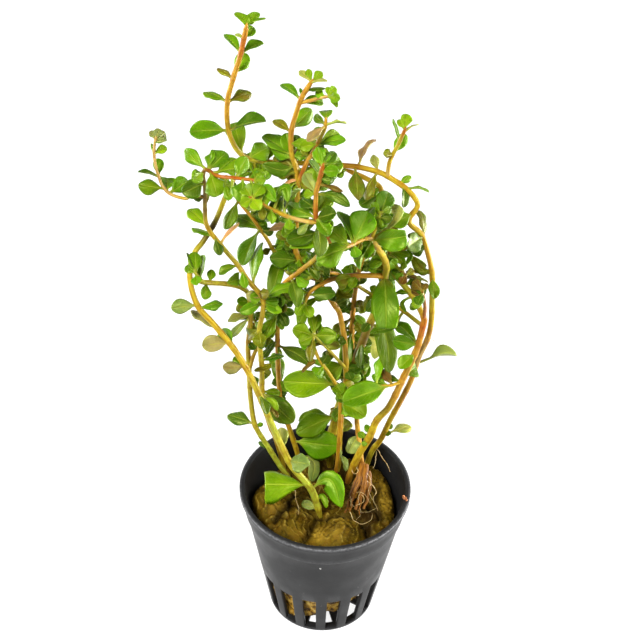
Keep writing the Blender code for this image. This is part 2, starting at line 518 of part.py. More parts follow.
def wool_level(top, turn, reach, away):
    """Height of the wool's top or underside at a distance from its middle."""
    x, y = math.cos(turn) * away, math.sin(turn) * away
    if top:
        return wool_top(x, y) - (WOOL_SHOULDER if reach == 1.0 else 0.0)
    under = WOOL_UNDER + WOOL_UNDER_SLOPE * x + WOOL_SHOULDER / 2 * math.sin(3 * turn)
    return max(under, FLOOR + WOOL_FLOOR_CLEARANCE)


def wall_radius(height):
    """Radius of the pot's inner wall."""
    inner_base = BASE_RADIUS - WALL
    share = (height - FLOOR) / (POT_HEIGHT - FLOOR)
    return inner_base + (RIM_RADIUS - LIP_WIDTH - inner_base) * share


def make_wool(parts):
    """The plug of mineral wool: a ball shape drawn out to the pot's wall, with a lumpy top."""
    shape = bmesh.new()
    rings = 2 * WOOL_RINGS + 1
    bmesh.ops.create_uvsphere(shape, u_segments=WOOL_SIDES, v_segments=rings + 1, radius=1.0)
    for vert in shape.verts:
        turn = math.atan2(vert.co.y, vert.co.x)
        level = round(math.acos(max(-1.0, min(1.0, vert.co.z))) / math.pi * (rings + 1))
        reach = min(level, rings + 1 - level, WOOL_RINGS) / WOOL_RINGS
        top = level <= WOOL_RINGS
        middle = level == WOOL_RINGS + 1
        z = WOOL_MIDDLE if middle else wool_level(top, turn, reach, WOOL_MIDDLE)
        for _ in range(3):
            edge = wall_radius(z) - WOOL_WALL_GAP * (2 + math.sin(5 * turn + 1))
            if not middle:
                z = wool_level(top, turn, reach, edge * reach)
        away = edge * (1.0 if middle else reach)
        vert.co = (math.cos(turn) * away, math.sin(turn) * away, z)
    mesh = bpy.data.meshes.new("wool_plug")
    shape.to_mesh(mesh)
    shape.free()
    return add_object("wool_plug", mesh, parts, material("wet_wool", WOOL_COLOUR, 0.8))


def width_share(t):
    """Share of a leaf's greatest width at a share t of the way from its foot to its tip."""
    return 0.12 + 0.88 * math.sin(math.pi * min(1.0, t ** 1.35)) ** 0.8 if 0 < t < 1 else 0.0


class Leaf:
    """A leaf's place: its midline, its face and its width."""

    def __init__(self, stem, row):
        self.stem = stem
        column, line, tip_column, tip_line, width, self.tone = row[:6]
        free = stem.line[stem.begin + 1:-1]
        self.foot = free[nearest(free, column, line)]
        self.sight = (EYE - self.foot).normalized()
        scale = (self.foot - EYE).dot(-BACK) / LENS
        self.start = self.foot.copy()
        gap = Vector((column, line)) - shown(self.foot)
        if gap.length > 5:
            self.start += (RIGHT * gap.x - UP * gap.y) * scale
        self.over = (RIGHT * (tip_column - column) - UP * (tip_line - line)) * scale
        self.seen_width = width * scale
        self.via = None
        if len(row) > 6:
            bend = Vector(row[6:8]) - Vector((column, line))
            self.via = self.start + (RIGHT * bend.x - UP * bend.y) * scale
        flat = self.over.length
        full = max(flat * 1.04, self.seen_width / LEAF_ASPECT_MAX)
        lean = min(math.sqrt(full ** 2 - flat ** 2), LEAF_LEAN_LIMIT * flat)
        self.lean = lean if self.over.dot(UP) < 0.3 * flat else -lean
        self.settle(0.0, 1.0)

    def settle(self, shift, size):
        """Works out the leaf with its tip moved along the line of sight, and its size changed."""
        tip = self.start + (self.over + self.sight * (self.lean + shift)) * size
        points = [self.foot]
        if (self.start - self.foot).length > 0.001:
            points.append(self.start)
        if self.via:
            points.append(self.start.lerp(self.via, size))
        points.append(tip)
        along = (tip - self.start).normalized()
        length = (tip - self.start).length
        facing = (self.sight - along * self.sight.dot(along)).normalized()
        side = along.cross(facing)
        self.width = max(self.seen_width * size, LEAF_ASPECT_MIN * length)
        roll = math.acos(min(1.0, self.seen_width * size / self.width))
        turned = [facing * math.cos(roll) + side * (math.sin(roll) * sign) for sign in (1, -1)]
        self.face = max(turned, key=lambda way: way.z)
        if len(points) == 2:
            points.insert(1, self.foot.lerp(tip, 0.5) + self.face * (0.05 * length))
        self.line = smooth(points)
        self.length = sum((b - a).length for a, b in zip(self.line, self.line[1:]))

    def area(self):
        """The leaf's area, near enough."""
        return self.length * self.width

    def at(self, t):
        """The midline's point at a share of its length, and its direction there."""
        place = max(0.0, min(1.0, t)) * (len(self.line) - 1)
        index = min(int(place), len(self.line) - 2)
        start, end = self.line[index], self.line[index + 1]
        return start.lerp(end, place - index), (end - start).normalized()

    def mesh(self, name, sides, rings, begin=0.0, swell=0.0):
        """A closed blade: a ball drawn out along the midline and flattened."""
        shape = bmesh.new()
        bmesh.ops.create_uvsphere(shape, u_segments=sides, v_segments=rings + 1, radius=1.0)
        for vert in shape.verts:
            level = math.acos(max(-1.0, min(1.0, -vert.co.z))) / math.pi
            t = begin + (1 - begin) * level ** 0.9
            middle, along = self.at(t)
            side = along.cross(self.face).normalized()
            face = side.cross(along)
            ring = math.hypot(vert.co.x, vert.co.y)
            wide, thick = (vert.co.x / ring, vert.co.y / ring) if ring > 0.01 else (0.0, 0.0)
            half = max(self.width / 2 * width_share(t), PETIOLE_RADIUS) + swell
            bulk = LEAF_THICKNESS / 2 * (1.3 - 0.6 * t) + swell
            vert.co = middle - side * (wide * half) + face * (thick * bulk)
            if ring <= 0.01:
                vert.co += along * (swell if level > 0.5 else 0.0)
        blade = bpy.data.meshes.new(name)
        shape.to_mesh(blade)
        shape.free()
        return blade


class Stem:
    """A stem's place: its line and its widths."""

    def __init__(self, name, parent, foot_width, tip_width, route):
        self.name = name
        self.parent = parent
        self.foot_width = foot_width * MM
        self.tip_width = tip_width * MM
        points = [seen(*spot) for spot in route]
        if parent:
            points[0] = parent.line[nearest(parent.line, *route[0][:2])].copy()
        else:
            downward = (points[0] - points[1]).normalized()
            points.insert(0, points[0] + (downward + Vector((0, 0, -1))).normalized() * STEM_SINK)
        self.line = smooth(points)
        self.begin = 0
        if parent:
            self.begin = self.clear_of_parent()

    def clear_of_parent(self):
        """Index of the first point whose end face is clear of the parent's side."""
        for index in range(1, len(self.line) - 2):
            along = (self.line[index + 1] - self.line[index]).normalized()
            away, course, radius = self.parent.around(self.line[index])
            if away > radius + GAP * 1.3 + self.foot_width / 2 * abs(along.dot(course)):
                return index
        return len(self.line) - 3

    def around(self, point):
        """Distance of a point from this stem's line, the line's direction there and its radius."""
        index = min(range(len(self.line)), key=lambda i: (self.line[i] - point).length)
        before, after = self.line[max(index - 1, 0)], self.line[min(index + 1, len(self.line) - 1)]
        course = (after - before).normalized()
        arm = point - self.line[index]
        return (arm - course * arm.dot(course)).length, course, self.radius_at(index)

    def radius_at(self, index):
        """Half the width at a point of the line."""
        share = index / (len(self.line) - 1)
        return (self.foot_width + (self.tip_width - self.foot_width) * share) / 2


def tree_of(mesh):
    """A search tree of a mesh, to test it against others."""
    return BVHTree.FromPolygons([v.co for v in mesh.vertices], [tuple(p.vertices) for p in mesh.polygons])


def sides_and_rings(large):
    """Sides and rings of a leaf's blade."""
    return (4, 3) if large else (3, 2)


def leaf_begin(leaf, large):
    """Where along its midline a leaf begins: inside its stem, or just clear of it if it is large."""
    begin = 0.0
    while large and begin < 0.5:
        away, _, radius = leaf.stem.around(leaf.at(begin)[0])
        if away > radius + PETIOLE_RADIUS + GAP:
            break
        begin += 0.01
    return begin


def settle_leaf(leaf, large, placed, fixed):
    """Moves a leaf's tip along the line of sight, then shrinks it, until it is clear of the rest."""
    sides, rings = sides_and_rings(large)
    for size in LEAF_SIZES:
        for step in TIP_STEPS:
            leaf.settle(step * TIP_STEP, size)
            begin = leaf_begin(leaf, large)
            mesh = leaf.mesh("trial", sides, rings, begin, GAP)
            tree = tree_of(mesh)
            bpy.data.meshes.remove(mesh)
            others = [other for name, other in fixed.items() if name != leaf.stem.name]
            others += [other for stem, other_large, other in placed
                       if large or other_large or stem != leaf.stem]
            if not any(tree.overlap(other) for other in others):
                return True
    return False


def hidden_from_eye(leaf, trees):
    """True if every sampled point of a leaf lies behind something in the picture."""
    for t in (0.35, 0.6, 0.8, 1.0):
        middle, along = leaf.at(t)
        side = along.cross(leaf.face).normalized() * leaf.width * 0.5 * width_share(t)
        for point in (middle + side, middle - side, middle):
            way = (EYE - point).normalized()
            if not any(tree.ray_cast(point + way * 0.001, way)[0] for tree in trees):
                return False
    return True


def hidden_rows(stem, turn):
    """Leaf rows at the far side of a stem, one every few millimetres of it."""
    for index in range(HIDDEN_SPACING, len(stem.line) - 1, HIDDEN_SPACING):
        turn += HIDDEN_TURN
        column, line = shown(stem.line[index])
        if stem.line[index].z < HOLE_TOP:
            continue
        tip = (column + HIDDEN_LENGTH * math.cos(turn), line + HIDDEN_LENGTH * math.sin(turn))
        yield column, line, *tip, HIDDEN_WIDTH, "g"


def clear(scene):
    """Removes every object of the scene."""
    for thing in list(scene.objects):
        bpy.data.objects.remove(thing)


def grow(parts, obstacles):
    """All stems and leaves, placed clear of each other: the stems, and each leaf with its size."""
    stems = {}
    for name, parent, foot_width, tip_width, route in STEMS:
        stems[name] = Stem(name, stems.get(parent), foot_width, tip_width, route)
    graph = bpy.context.evaluated_depsgraph_get()
    fixed = {thing.name: tree_of(thing.evaluated_get(graph).data) for thing in obstacles}
    for stem in stems.values():
        stem.bends = thinned(stem.line[stem.begin:], STEM_SLACK)
        mesh = tube_mesh(stem.name, stem.bends, stem.foot_width, stem.tip_width)
        add_object(stem.name, mesh, parts, material("stem_skin", STEM_COLOUR, 0.4))
        fixed[stem.name] = tree_of(mesh)
    wanted = [Leaf(stems[name], row) for name, rows in LEAVES.items() for row in rows]
    wanted.sort(key=lambda leaf: -leaf.area())
    placed = []
    leaves = []
    for rank, leaf in enumerate(wanted):
        large = rank < LARGE_LEAVES
        if settle_leaf(leaf, large, placed, fixed):
            place_leaf(leaf, large, placed, leaves)
    trees = [tree for _, _, tree in placed]
    count = 0
    for number, stem in enumerate(stems.values()):
        for row in hidden_rows(stem, number):
            if count == HIDDEN_LEAVES:
                break
            leaf = Leaf(stem, row)
            leaf.lean = HIDDEN_LEAN
            leaf.settle(0.0, 1.0)
            if settle_leaf(leaf, False, placed, fixed) and hidden_from_eye(leaf, trees):
                place_leaf(leaf, False, placed, leaves)
                count += 1
    return stems, leaves


def place_leaf(leaf, large, placed, leaves):
    """Keeps a leaf, and its search tree for the next ones."""
    mesh = leaf.mesh("trial", *sides_and_rings(large), leaf_begin(leaf, large))
    placed.append((leaf.stem, large, tree_of(mesh)))
    bpy.data.meshes.remove(mesh)
    leaves.append((leaf, large))


def make_leaves(leaves, parts, guides):
    """Large leaves as objects of their own, small ones joined to their stem."""
    joined = {}
    numbers = {}
    for leaf, large in leaves:
        short = leaf.stem.name.split("_", 1)[1]
        if large:
            numbers[short] = numbers.get(short, 0) + 1
            name = f"leaf_{short}_{numbers[short]}"
            finish = material("leaf_" + leaf.tone, TONES[leaf.tone], 0.35)
            mesh = leaf.mesh(name, *sides_and_rings(True), leaf_begin(leaf, True))
            add_object(name, mesh, parts, finish).data.shade_smooth()
            continue
        if leaf.stem.name not in joined:
            joined[leaf.stem.name] = bpy.data.collections.new("leaves_of_" + leaf.stem.name)
            guides.children.link(joined[leaf.stem.name])
        mesh = leaf.mesh("small_leaf", *sides_and_rings(False))
        hide_cutter(add_object("small_leaf", mesh, joined[leaf.stem.name]))
    for name, collection in joined.items():
        boolean(parts.objects[name], collection, "UNION")


def cut_wool(wool, stems, guides):
    """Holes in the wool for the stems that stand in it."""
    holes = bpy.data.collections.new("wool_holes")
    guides.children.link(holes)
    for stem in stems.values():
        if stem.parent:
            continue
        foot, rise = stem.bends[0], (stem.bends[1] - stem.bends[0]).normalized()
        line = [foot - rise * 2 * GAP] + [p for p in stem.bends[1:] if p.z < HOLE_TOP]
        line.append(stem.bends[len(line)])
        width = stem.foot_width + 3 * GAP
        hole = add_object(stem.name + "_hole", tube_mesh("hole", line, width, width), holes)
        hide_cutter(hole)
        boolean(wool, hole, "DIFFERENCE")


def main():
    scene = bpy.context.scene
    clear(scene)
    parts = bpy.data.collections.new(OBJECT_NAME)
    cutters = bpy.data.collections.new("cutters")
    pot_cutters = bpy.data.collections.new("pot_cutters")
    scene.collection.children.link(parts)
    scene.collection.children.link(cutters)
    cutters.children.link(pot_cutters)
    pot = make_pot(parts, pot_cutters)
    for cutter in pot_cutters.objects:
        hide_cutter(cutter)
    wool = make_wool(parts)
    stems, leaves = grow(parts, (pot, wool))
    make_leaves(leaves, parts, cutters)
    cut_wool(wool, stems, cutters)


main()
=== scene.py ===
"""Looks of the potted dwarf rotala: the net pot, the wet wool, the stems, the leaves and the roots.

Metres, +Z up, the origin under the pot's middle, and -Y the front. Stems and leaves are placed as
the solids are: by a column and a row of the front picture, in pixels, and how far a point lies
behind the pot's middle, in millimetres.
"""

import json
import math
import random

import bmesh
import bpy
from bpy.props import FloatProperty, FloatVectorProperty, IntProperty, PointerProperty
from mathutils import Matrix, Vector, noise
from mathutils.bvhtree import BVHTree
from mathutils.geometry import interpolate_bezier

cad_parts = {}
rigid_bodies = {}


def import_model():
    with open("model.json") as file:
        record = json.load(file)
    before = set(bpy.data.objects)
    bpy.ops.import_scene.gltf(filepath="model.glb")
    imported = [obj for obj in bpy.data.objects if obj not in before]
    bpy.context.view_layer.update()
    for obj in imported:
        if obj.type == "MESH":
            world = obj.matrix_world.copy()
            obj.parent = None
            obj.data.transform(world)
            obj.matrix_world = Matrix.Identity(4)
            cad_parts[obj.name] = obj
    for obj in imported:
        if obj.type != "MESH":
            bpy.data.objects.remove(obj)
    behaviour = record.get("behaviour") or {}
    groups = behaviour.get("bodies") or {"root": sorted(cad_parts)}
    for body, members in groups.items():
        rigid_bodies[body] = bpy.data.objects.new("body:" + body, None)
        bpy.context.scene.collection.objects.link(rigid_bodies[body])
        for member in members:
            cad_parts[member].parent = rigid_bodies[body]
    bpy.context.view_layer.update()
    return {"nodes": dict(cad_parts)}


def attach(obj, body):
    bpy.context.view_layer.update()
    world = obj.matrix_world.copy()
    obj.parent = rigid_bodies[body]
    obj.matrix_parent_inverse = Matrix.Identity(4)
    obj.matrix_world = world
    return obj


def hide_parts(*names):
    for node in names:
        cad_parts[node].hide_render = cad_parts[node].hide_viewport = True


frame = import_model()

bl_info = {
    "name": "Potted dwarf rotala",
    "version": (1, 0, 0),
    "blender": (4, 5, 0),
    "location": "3D View > Sidebar > Rotala",
    "description": "Makes a dwarf rotala in a slotted net pot",
    "category": "Add Mesh",
}

BODY = "root"
MM = 0.001
# Room that the solids leave between pieces
GAP = 0.0003

# Net pot
POT_HEIGHT = 0.049
RIM_RADIUS = 0.026
RIM_DEPTH = 0.0012
LIP_WIDTH = 0.0016
COLLAR_FOOT_HEIGHT = 0.041
COLLAR_FOOT_RADIUS = 0.0244
COLLAR_STEP = 0.0005
COLLAR_HOLLOW = 0.00015
BASE_RADIUS = 0.01675
WALL = 0.0012
FLOOR = 0.0012
SLOT_DEGREES = 12.4
SLOT_TOP = 0.0176
FLOOR_HOLES = 8
FLOOR_HOLE_INNER = 0.0045
FLOOR_HOLE_OUTER = 0.0144
FLOOR_SPOKE = 0.0036
FLOOR_MIDDLE = 0.0022
LIP_CROWN = 0.00004
EDGE_ROUNDING = 0.00016
EDGE_ROUNDED_ABOVE = math.radians(32)
# Corners of the wall in one hole's share of the turn, in degrees, besides the slots' and the holes'
WALL_CORNERS = (0.0, 2.5, 7.7, 10.2, 12.7, 20.0, 22.5, 25.0, 32.3, 34.8, 37.3, 42.5)

# Plug of mineral wool: its top, its slanting underside and the lumps on its top, each lump an x, a
# y, a width and a rise in millimetres
WOOL_TOP = 0.0405
WOOL_UNDER = 0.0064
WOOL_UNDER_SLOPE = 0.42
WOOL_SHOULDER = 0.0012
WOOL_FLOOR_CLEARANCE = 0.0008
WOOL_WALL_GAP = 0.0005
WOOL_LAYER = 0.0012
WOOL_AROUND = 220
WOOL_RINGS = {"top": 84, "side": 22, "under": 16}
WOOL_SEEN_HEIGHT = 0.0425
CREASE_WIDTH = 0.0008
FIBRE_LENGTH = 0.0030
FIBRE_RADIUS = 0.00004
FIBRE_SEED = 4
WOOL_LUMPS = (
    (-18, -3, 7, 4.2),
    (-10, -12, 6, 2.4),
    (5, -15, 6, 5.2),
    (16, 3, 5, 3.6),
    (13, 12, 5, 2.6),
    (18, -8, 6, 3.0),
    (-2, 4, 6, -3.5),
    (-14, 12, 6, -2.0),
    (9, 1, 4, 1.5),
)
STEM_SINK = 0.004
# Leaves that are not read off the picture grow above this height only
HOLE_TOP = 0.048

# The front picture's eye
PICTURE_MIDDLE = 320.0
LENS = 1400.0
EYE_HEIGHT_ANGLE = math.radians(39.824)
EYE_ROLL = math.radians(1.724)
EYE_TARGET = Vector((-0.00306, 0.0, 0.11405))
EYE_DISTANCE = 0.3833

# Leaves
LEAF_THICKNESS = 0.0005
LEAF_ASPECT_MIN = 0.40
LEAF_ASPECT_MAX = 0.62
LEAF_LEAN_LIMIT = 1.3
LEAF_SLACK = 1.04
LEAF_ARCH = 0.05
LARGE_LEAVES = 33
HIDDEN_LEAVES = 24
PETIOLE_RADIUS = 0.00035
STEM_SLACK = 0.00035
# Steps that a leaf's tip is moved by, and sizes it is shrunk to, until it is clear of the rest
TIP_STEP = 0.0009
TIP_STEPS = (0, 1, -1, 2, -2, 3, -3, 4, -4, 5, -5, 6, -6)
LEAF_SIZES = (1.0, 0.9, 0.75, 0.6, 0.45)
# Leaves on a stem's far side: length and width in pixels, turn from one to the next, and lean
HIDDEN_LENGTH = 9
HIDDEN_WIDTH = 11
HIDDEN_TURN = 2.4
HIDDEN_LEAN = -0.005
HIDDEN_SPACING = 4
# Shares of a leaf's length at which it is sampled
HIDDEN_SHARES = (0.35, 0.6, 0.8, 1.0)
FILL_SHARES = (0.3, 0.5, 0.7, 0.85, 1.0)

# Stems: name, what it grows from, width at its foot and at its tip in millimetres, and its route
STEMS = (
    ("stem_left_front", None, 2.0, 1.2, (
        (321, 519, -5), (311, 489, -6), (291.7, 465.8, -6.5), (276.4, 435, -7), (258.5, 393.5, -8),
        (249.5, 374.6, -8), (240.5, 358.6, -8), (229, 342.5, -8), (212.7, 323, -7), (197.3, 305, -6),
        (189.7, 275.6, -4), (194.8, 252.7, -2), (202.4, 242.4, 0), (215, 222, 3), (225.4, 196.5, 6),
        (229, 189, 8), (236, 176, 9))),
    ("stem_left_pale", None, 1.5, 1.2, (
        (290, 478, 11), (280, 466, 10), (268.8, 448, 9), (256, 427.6, 8), (253, 416.6, 8),
        (250.4, 396, 7), (249.5, 381, 6), (248.6, 360.4, 6), (248, 348, 5.5), (249, 335, 5),
        (250.4, 322, 4), (250, 308, 3), (248.8, 295, 2), (242.5, 288, -1), (227, 284, -5),
        (209.5, 282.7, -9), (200.5, 281, -11), (195, 272, -12))),
    ("stem_left_rising", None, 1.6, 1.1, (
        (284, 468, 15), (277, 441, 12), (270, 425, 9), (264, 403, 5), (262, 389, 3), (262, 369, 1),
        (259.5, 343, -1), (259.3, 330, -2), (263, 310, -3), (262, 297, -4), (255.7, 289, -5),
        (247.7, 280, -5.5), (238, 265.4, -6), (222.9, 247.6, -7), (207.5, 227, -7.5),
        (205, 209.3, -10), (205, 190, -12), (204.5, 170, -13), (217.8, 176, -16), (236, 178, -20),
        (258.6, 181, -22))),
    ("stem_centre_left", None, 1.5, 0.95, (
        (300, 462, 16), (290, 430, 14), (281, 405, 13), (279.4, 389, 12), (278, 360, 9),
        (277.5, 330, 6), (278.5, 305, 4), (281, 288, 2), (297, 273, -4), (309, 264, -9),
        (318, 256, -13), (330, 241, -18), (317, 222, -24), (316, 194, -26), (319.8, 178.7, -27),
        (323.6, 163, -28))),
    ("stem_centre_tall", None, 1.6, 1.1, (
        (338, 470, 14), (341, 415, 12), (344, 395, 11), (346, 374, 10), (344.5, 340, 8.7),
        (342, 325, 8), (339, 312, 7.5), (333, 303, 7), (320, 284, 5), (311, 273, 4.5),
        (303, 265, 4), (295.5, 250, 3), (296, 225, 3), (297, 201.6, 2), (298, 184, 2),
        (296.8, 171, 2), (291.7, 153, 2), (291.2, 132.7, 2), (295.6, 114.8, 1), (302, 97, 0.5),
        (313.4, 79, 0))),
    ("stem_centre_low", None, 1.1, 0.9, (
        (336, 474, 10), (339, 440, 9), (340, 400, 6), (337, 387, 5), (328, 372, 4),
        (319, 359.5, 3), (313, 344, 3))),
    ("stem_thick", None, 2.7, 1.4, (
        (330, 468, 16), (331, 438, 17), (336, 418, 18), (341, 400, 17), (348, 379, 16),
        (356, 358, 14), (364, 338, 12), (371, 321, 9), (380, 298, 4), (385, 276, 0),
        (386.5, 267, -3), (383, 256, -7), (379, 250, -10), (371, 238, -14))),
    ("stem_thick_back", None, 1.6, 1.2, (
        (353, 505, 0), (357, 485, 4), (361, 468, 8), (359, 440, 13), (357, 422, 18),
        (357, 405, 20), (355.5, 385, 21), (354, 365, 21), (352, 345, 20), (352, 325, 18),
        (353, 310, 16), (356, 286, 12), (360.5, 264, 10), (364, 257, 9))),
    ("stem_right_inner", None, 2.1, 1.2, (
        (347, 484, 9), (358, 456, 6), (370, 436, 4), (377, 420, 3), (389, 407, 2),
        (404, 376.5, 0), (417, 348.5, -1), (423, 325.5, -2), (424, 318, -2), (414, 298, 0),
        (404, 285.5, 2), (394.5, 274, 3), (391, 266, 4), (389.5, 254, 4), (388, 240, 5),
        (385, 215, 6), (380, 188, 9), (367, 179, 11), (353.8, 173, 11), (344, 169, 11))),
    ("stem_right_arch", None, 1.6, 1.1, (
        (366, 468, 15), (372, 451, 14), (381, 439, 13), (390, 420, 11), (401.4, 399.5, 9),
        (411.6, 379, 7), (419.3, 356, 5), (427, 340, 4), (431, 324, 3), (432, 300, 3),
        (432, 273, 3), (427, 250, 4), (421, 234, 5), (409, 221, 5), (417.5, 206, 6),
        (414, 197, 6), (404, 187, 7), (393.6, 180, 8), (381, 173, 8), (360.6, 167.5, 8),
        (344, 165.5, 8), (320, 164, 9), (298, 163, 10), (274, 162.5, 8), (260, 161, 6),
        (250, 159.5, 4), (242, 155, 3), (234, 145, 2), (228, 128, 1), (227.4, 102, 0),
        (233, 79, -1), (240.7, 53.6, -2), (247, 23, -4))),
    ("shoot_left_twin", "stem_left_pale", 1.1, 0.8, (
        (250, 370, 6), (253, 357, 5), (258.4, 342.5, 5), (256.6, 335.4, 6), (254.8, 319.3, 7))),
    ("shoot_left_curl", "stem_left_rising", 0.8, 0.6, (
        (203.5, 197, -11), (192, 196, -12), (184.6, 198.5, -10), (166.7, 191.3, -8),
        (157.8, 173.5, -8), (154, 153, -9), (156, 136, -10))),
    ("shoot_front_left", "stem_centre_left", 1.0, 0.7, (
        (316, 222, -24), (309.6, 222, -25), (289, 217, -26), (271, 209, -26), (248.4, 196.5, -28))),
    ("shoot_centre_fork", "stem_centre_tall", 1.0, 0.8, (
        (298, 184, 2), (304.6, 166.6, 0), (312, 153, -1), (318, 142, -1), (325, 128, -2),
        (326, 117, -2))),
    ("shoot_centre_top", "stem_centre_tall", 0.9, 0.7, (
        (305, 106, 1), (313, 100, 0), (320.7, 97.5, -1), (330.5, 96.5, -2))),
    ("shoot_arch_side", "stem_right_arch", 1.1, 0.8, (
        (386, 177, 8), (390, 160.7, 7), (399, 143, 6), (406, 127, 5))),
    ("shoot_across", "stem_thick", 1.4, 0.9, (
        (384, 275, 0), (370, 275.5, -2), (343.6, 276.4, -1.5), (330, 280, -1.5), (319.5, 285.4, -1.5),
        (311.4, 290.7, -2), (307, 297, -2.5), (304.3, 305, -3))),
    ("shoot_right_cross", "stem_right_inner", 1.1, 0.8, (
        (424, 327, -2), (419.6, 323.5, 1), (395, 305, 7), (378, 297, 9), (370, 293.5, 9.5),
        (358, 286, 8.5), (346, 279, 7.5), (338, 274, 6), (326, 272.5, 1))),
    ("shoot_right_dry", "stem_right_inner", 1.0, 0.7, (
        (424, 318, -3), (425, 308, -6), (424, 299, -8), (422, 290, -9))),
    ("shoot_right_low", "stem_right_inner", 0.9, 0.6, (
        (402, 381, 0), (390, 385.5, -2), (374, 386, -3))),
    ("shoot_right_twig", "stem_right_inner", 0.9, 0.6, (
        (391, 263, 3), (399, 269, 0), (407, 276.5, -2))),
    ("shoot_rosette", "stem_centre_tall", 0.9, 0.7, (
        (345, 366, 10), (336, 357.7, 5), (324, 345, 0), (312, 333.6, -5))),
    ("shoot_left_back", "stem_centre_tall", 1.1, 0.8, (
        (297, 262, 4), (286, 257, 6), (275, 252, 8), (267.5, 239.8, 9), (260.4, 229, 9),
        (250.5, 215.7, 9), (240.7, 203.7, 11), (234, 195, 12))),
    ("shoot_thick_near", "stem_thick", 1.1, 0.8, (
        (371, 238, -14), (364, 239, -17), (356, 242.5, -20), (347, 247.5, -24))),
    ("shoot_thick_up", "stem_thick", 1.0, 0.7, (
        (371, 238, -14), (375, 229, -13.5), (379, 217.5, -13), (381, 212, -13))),
)

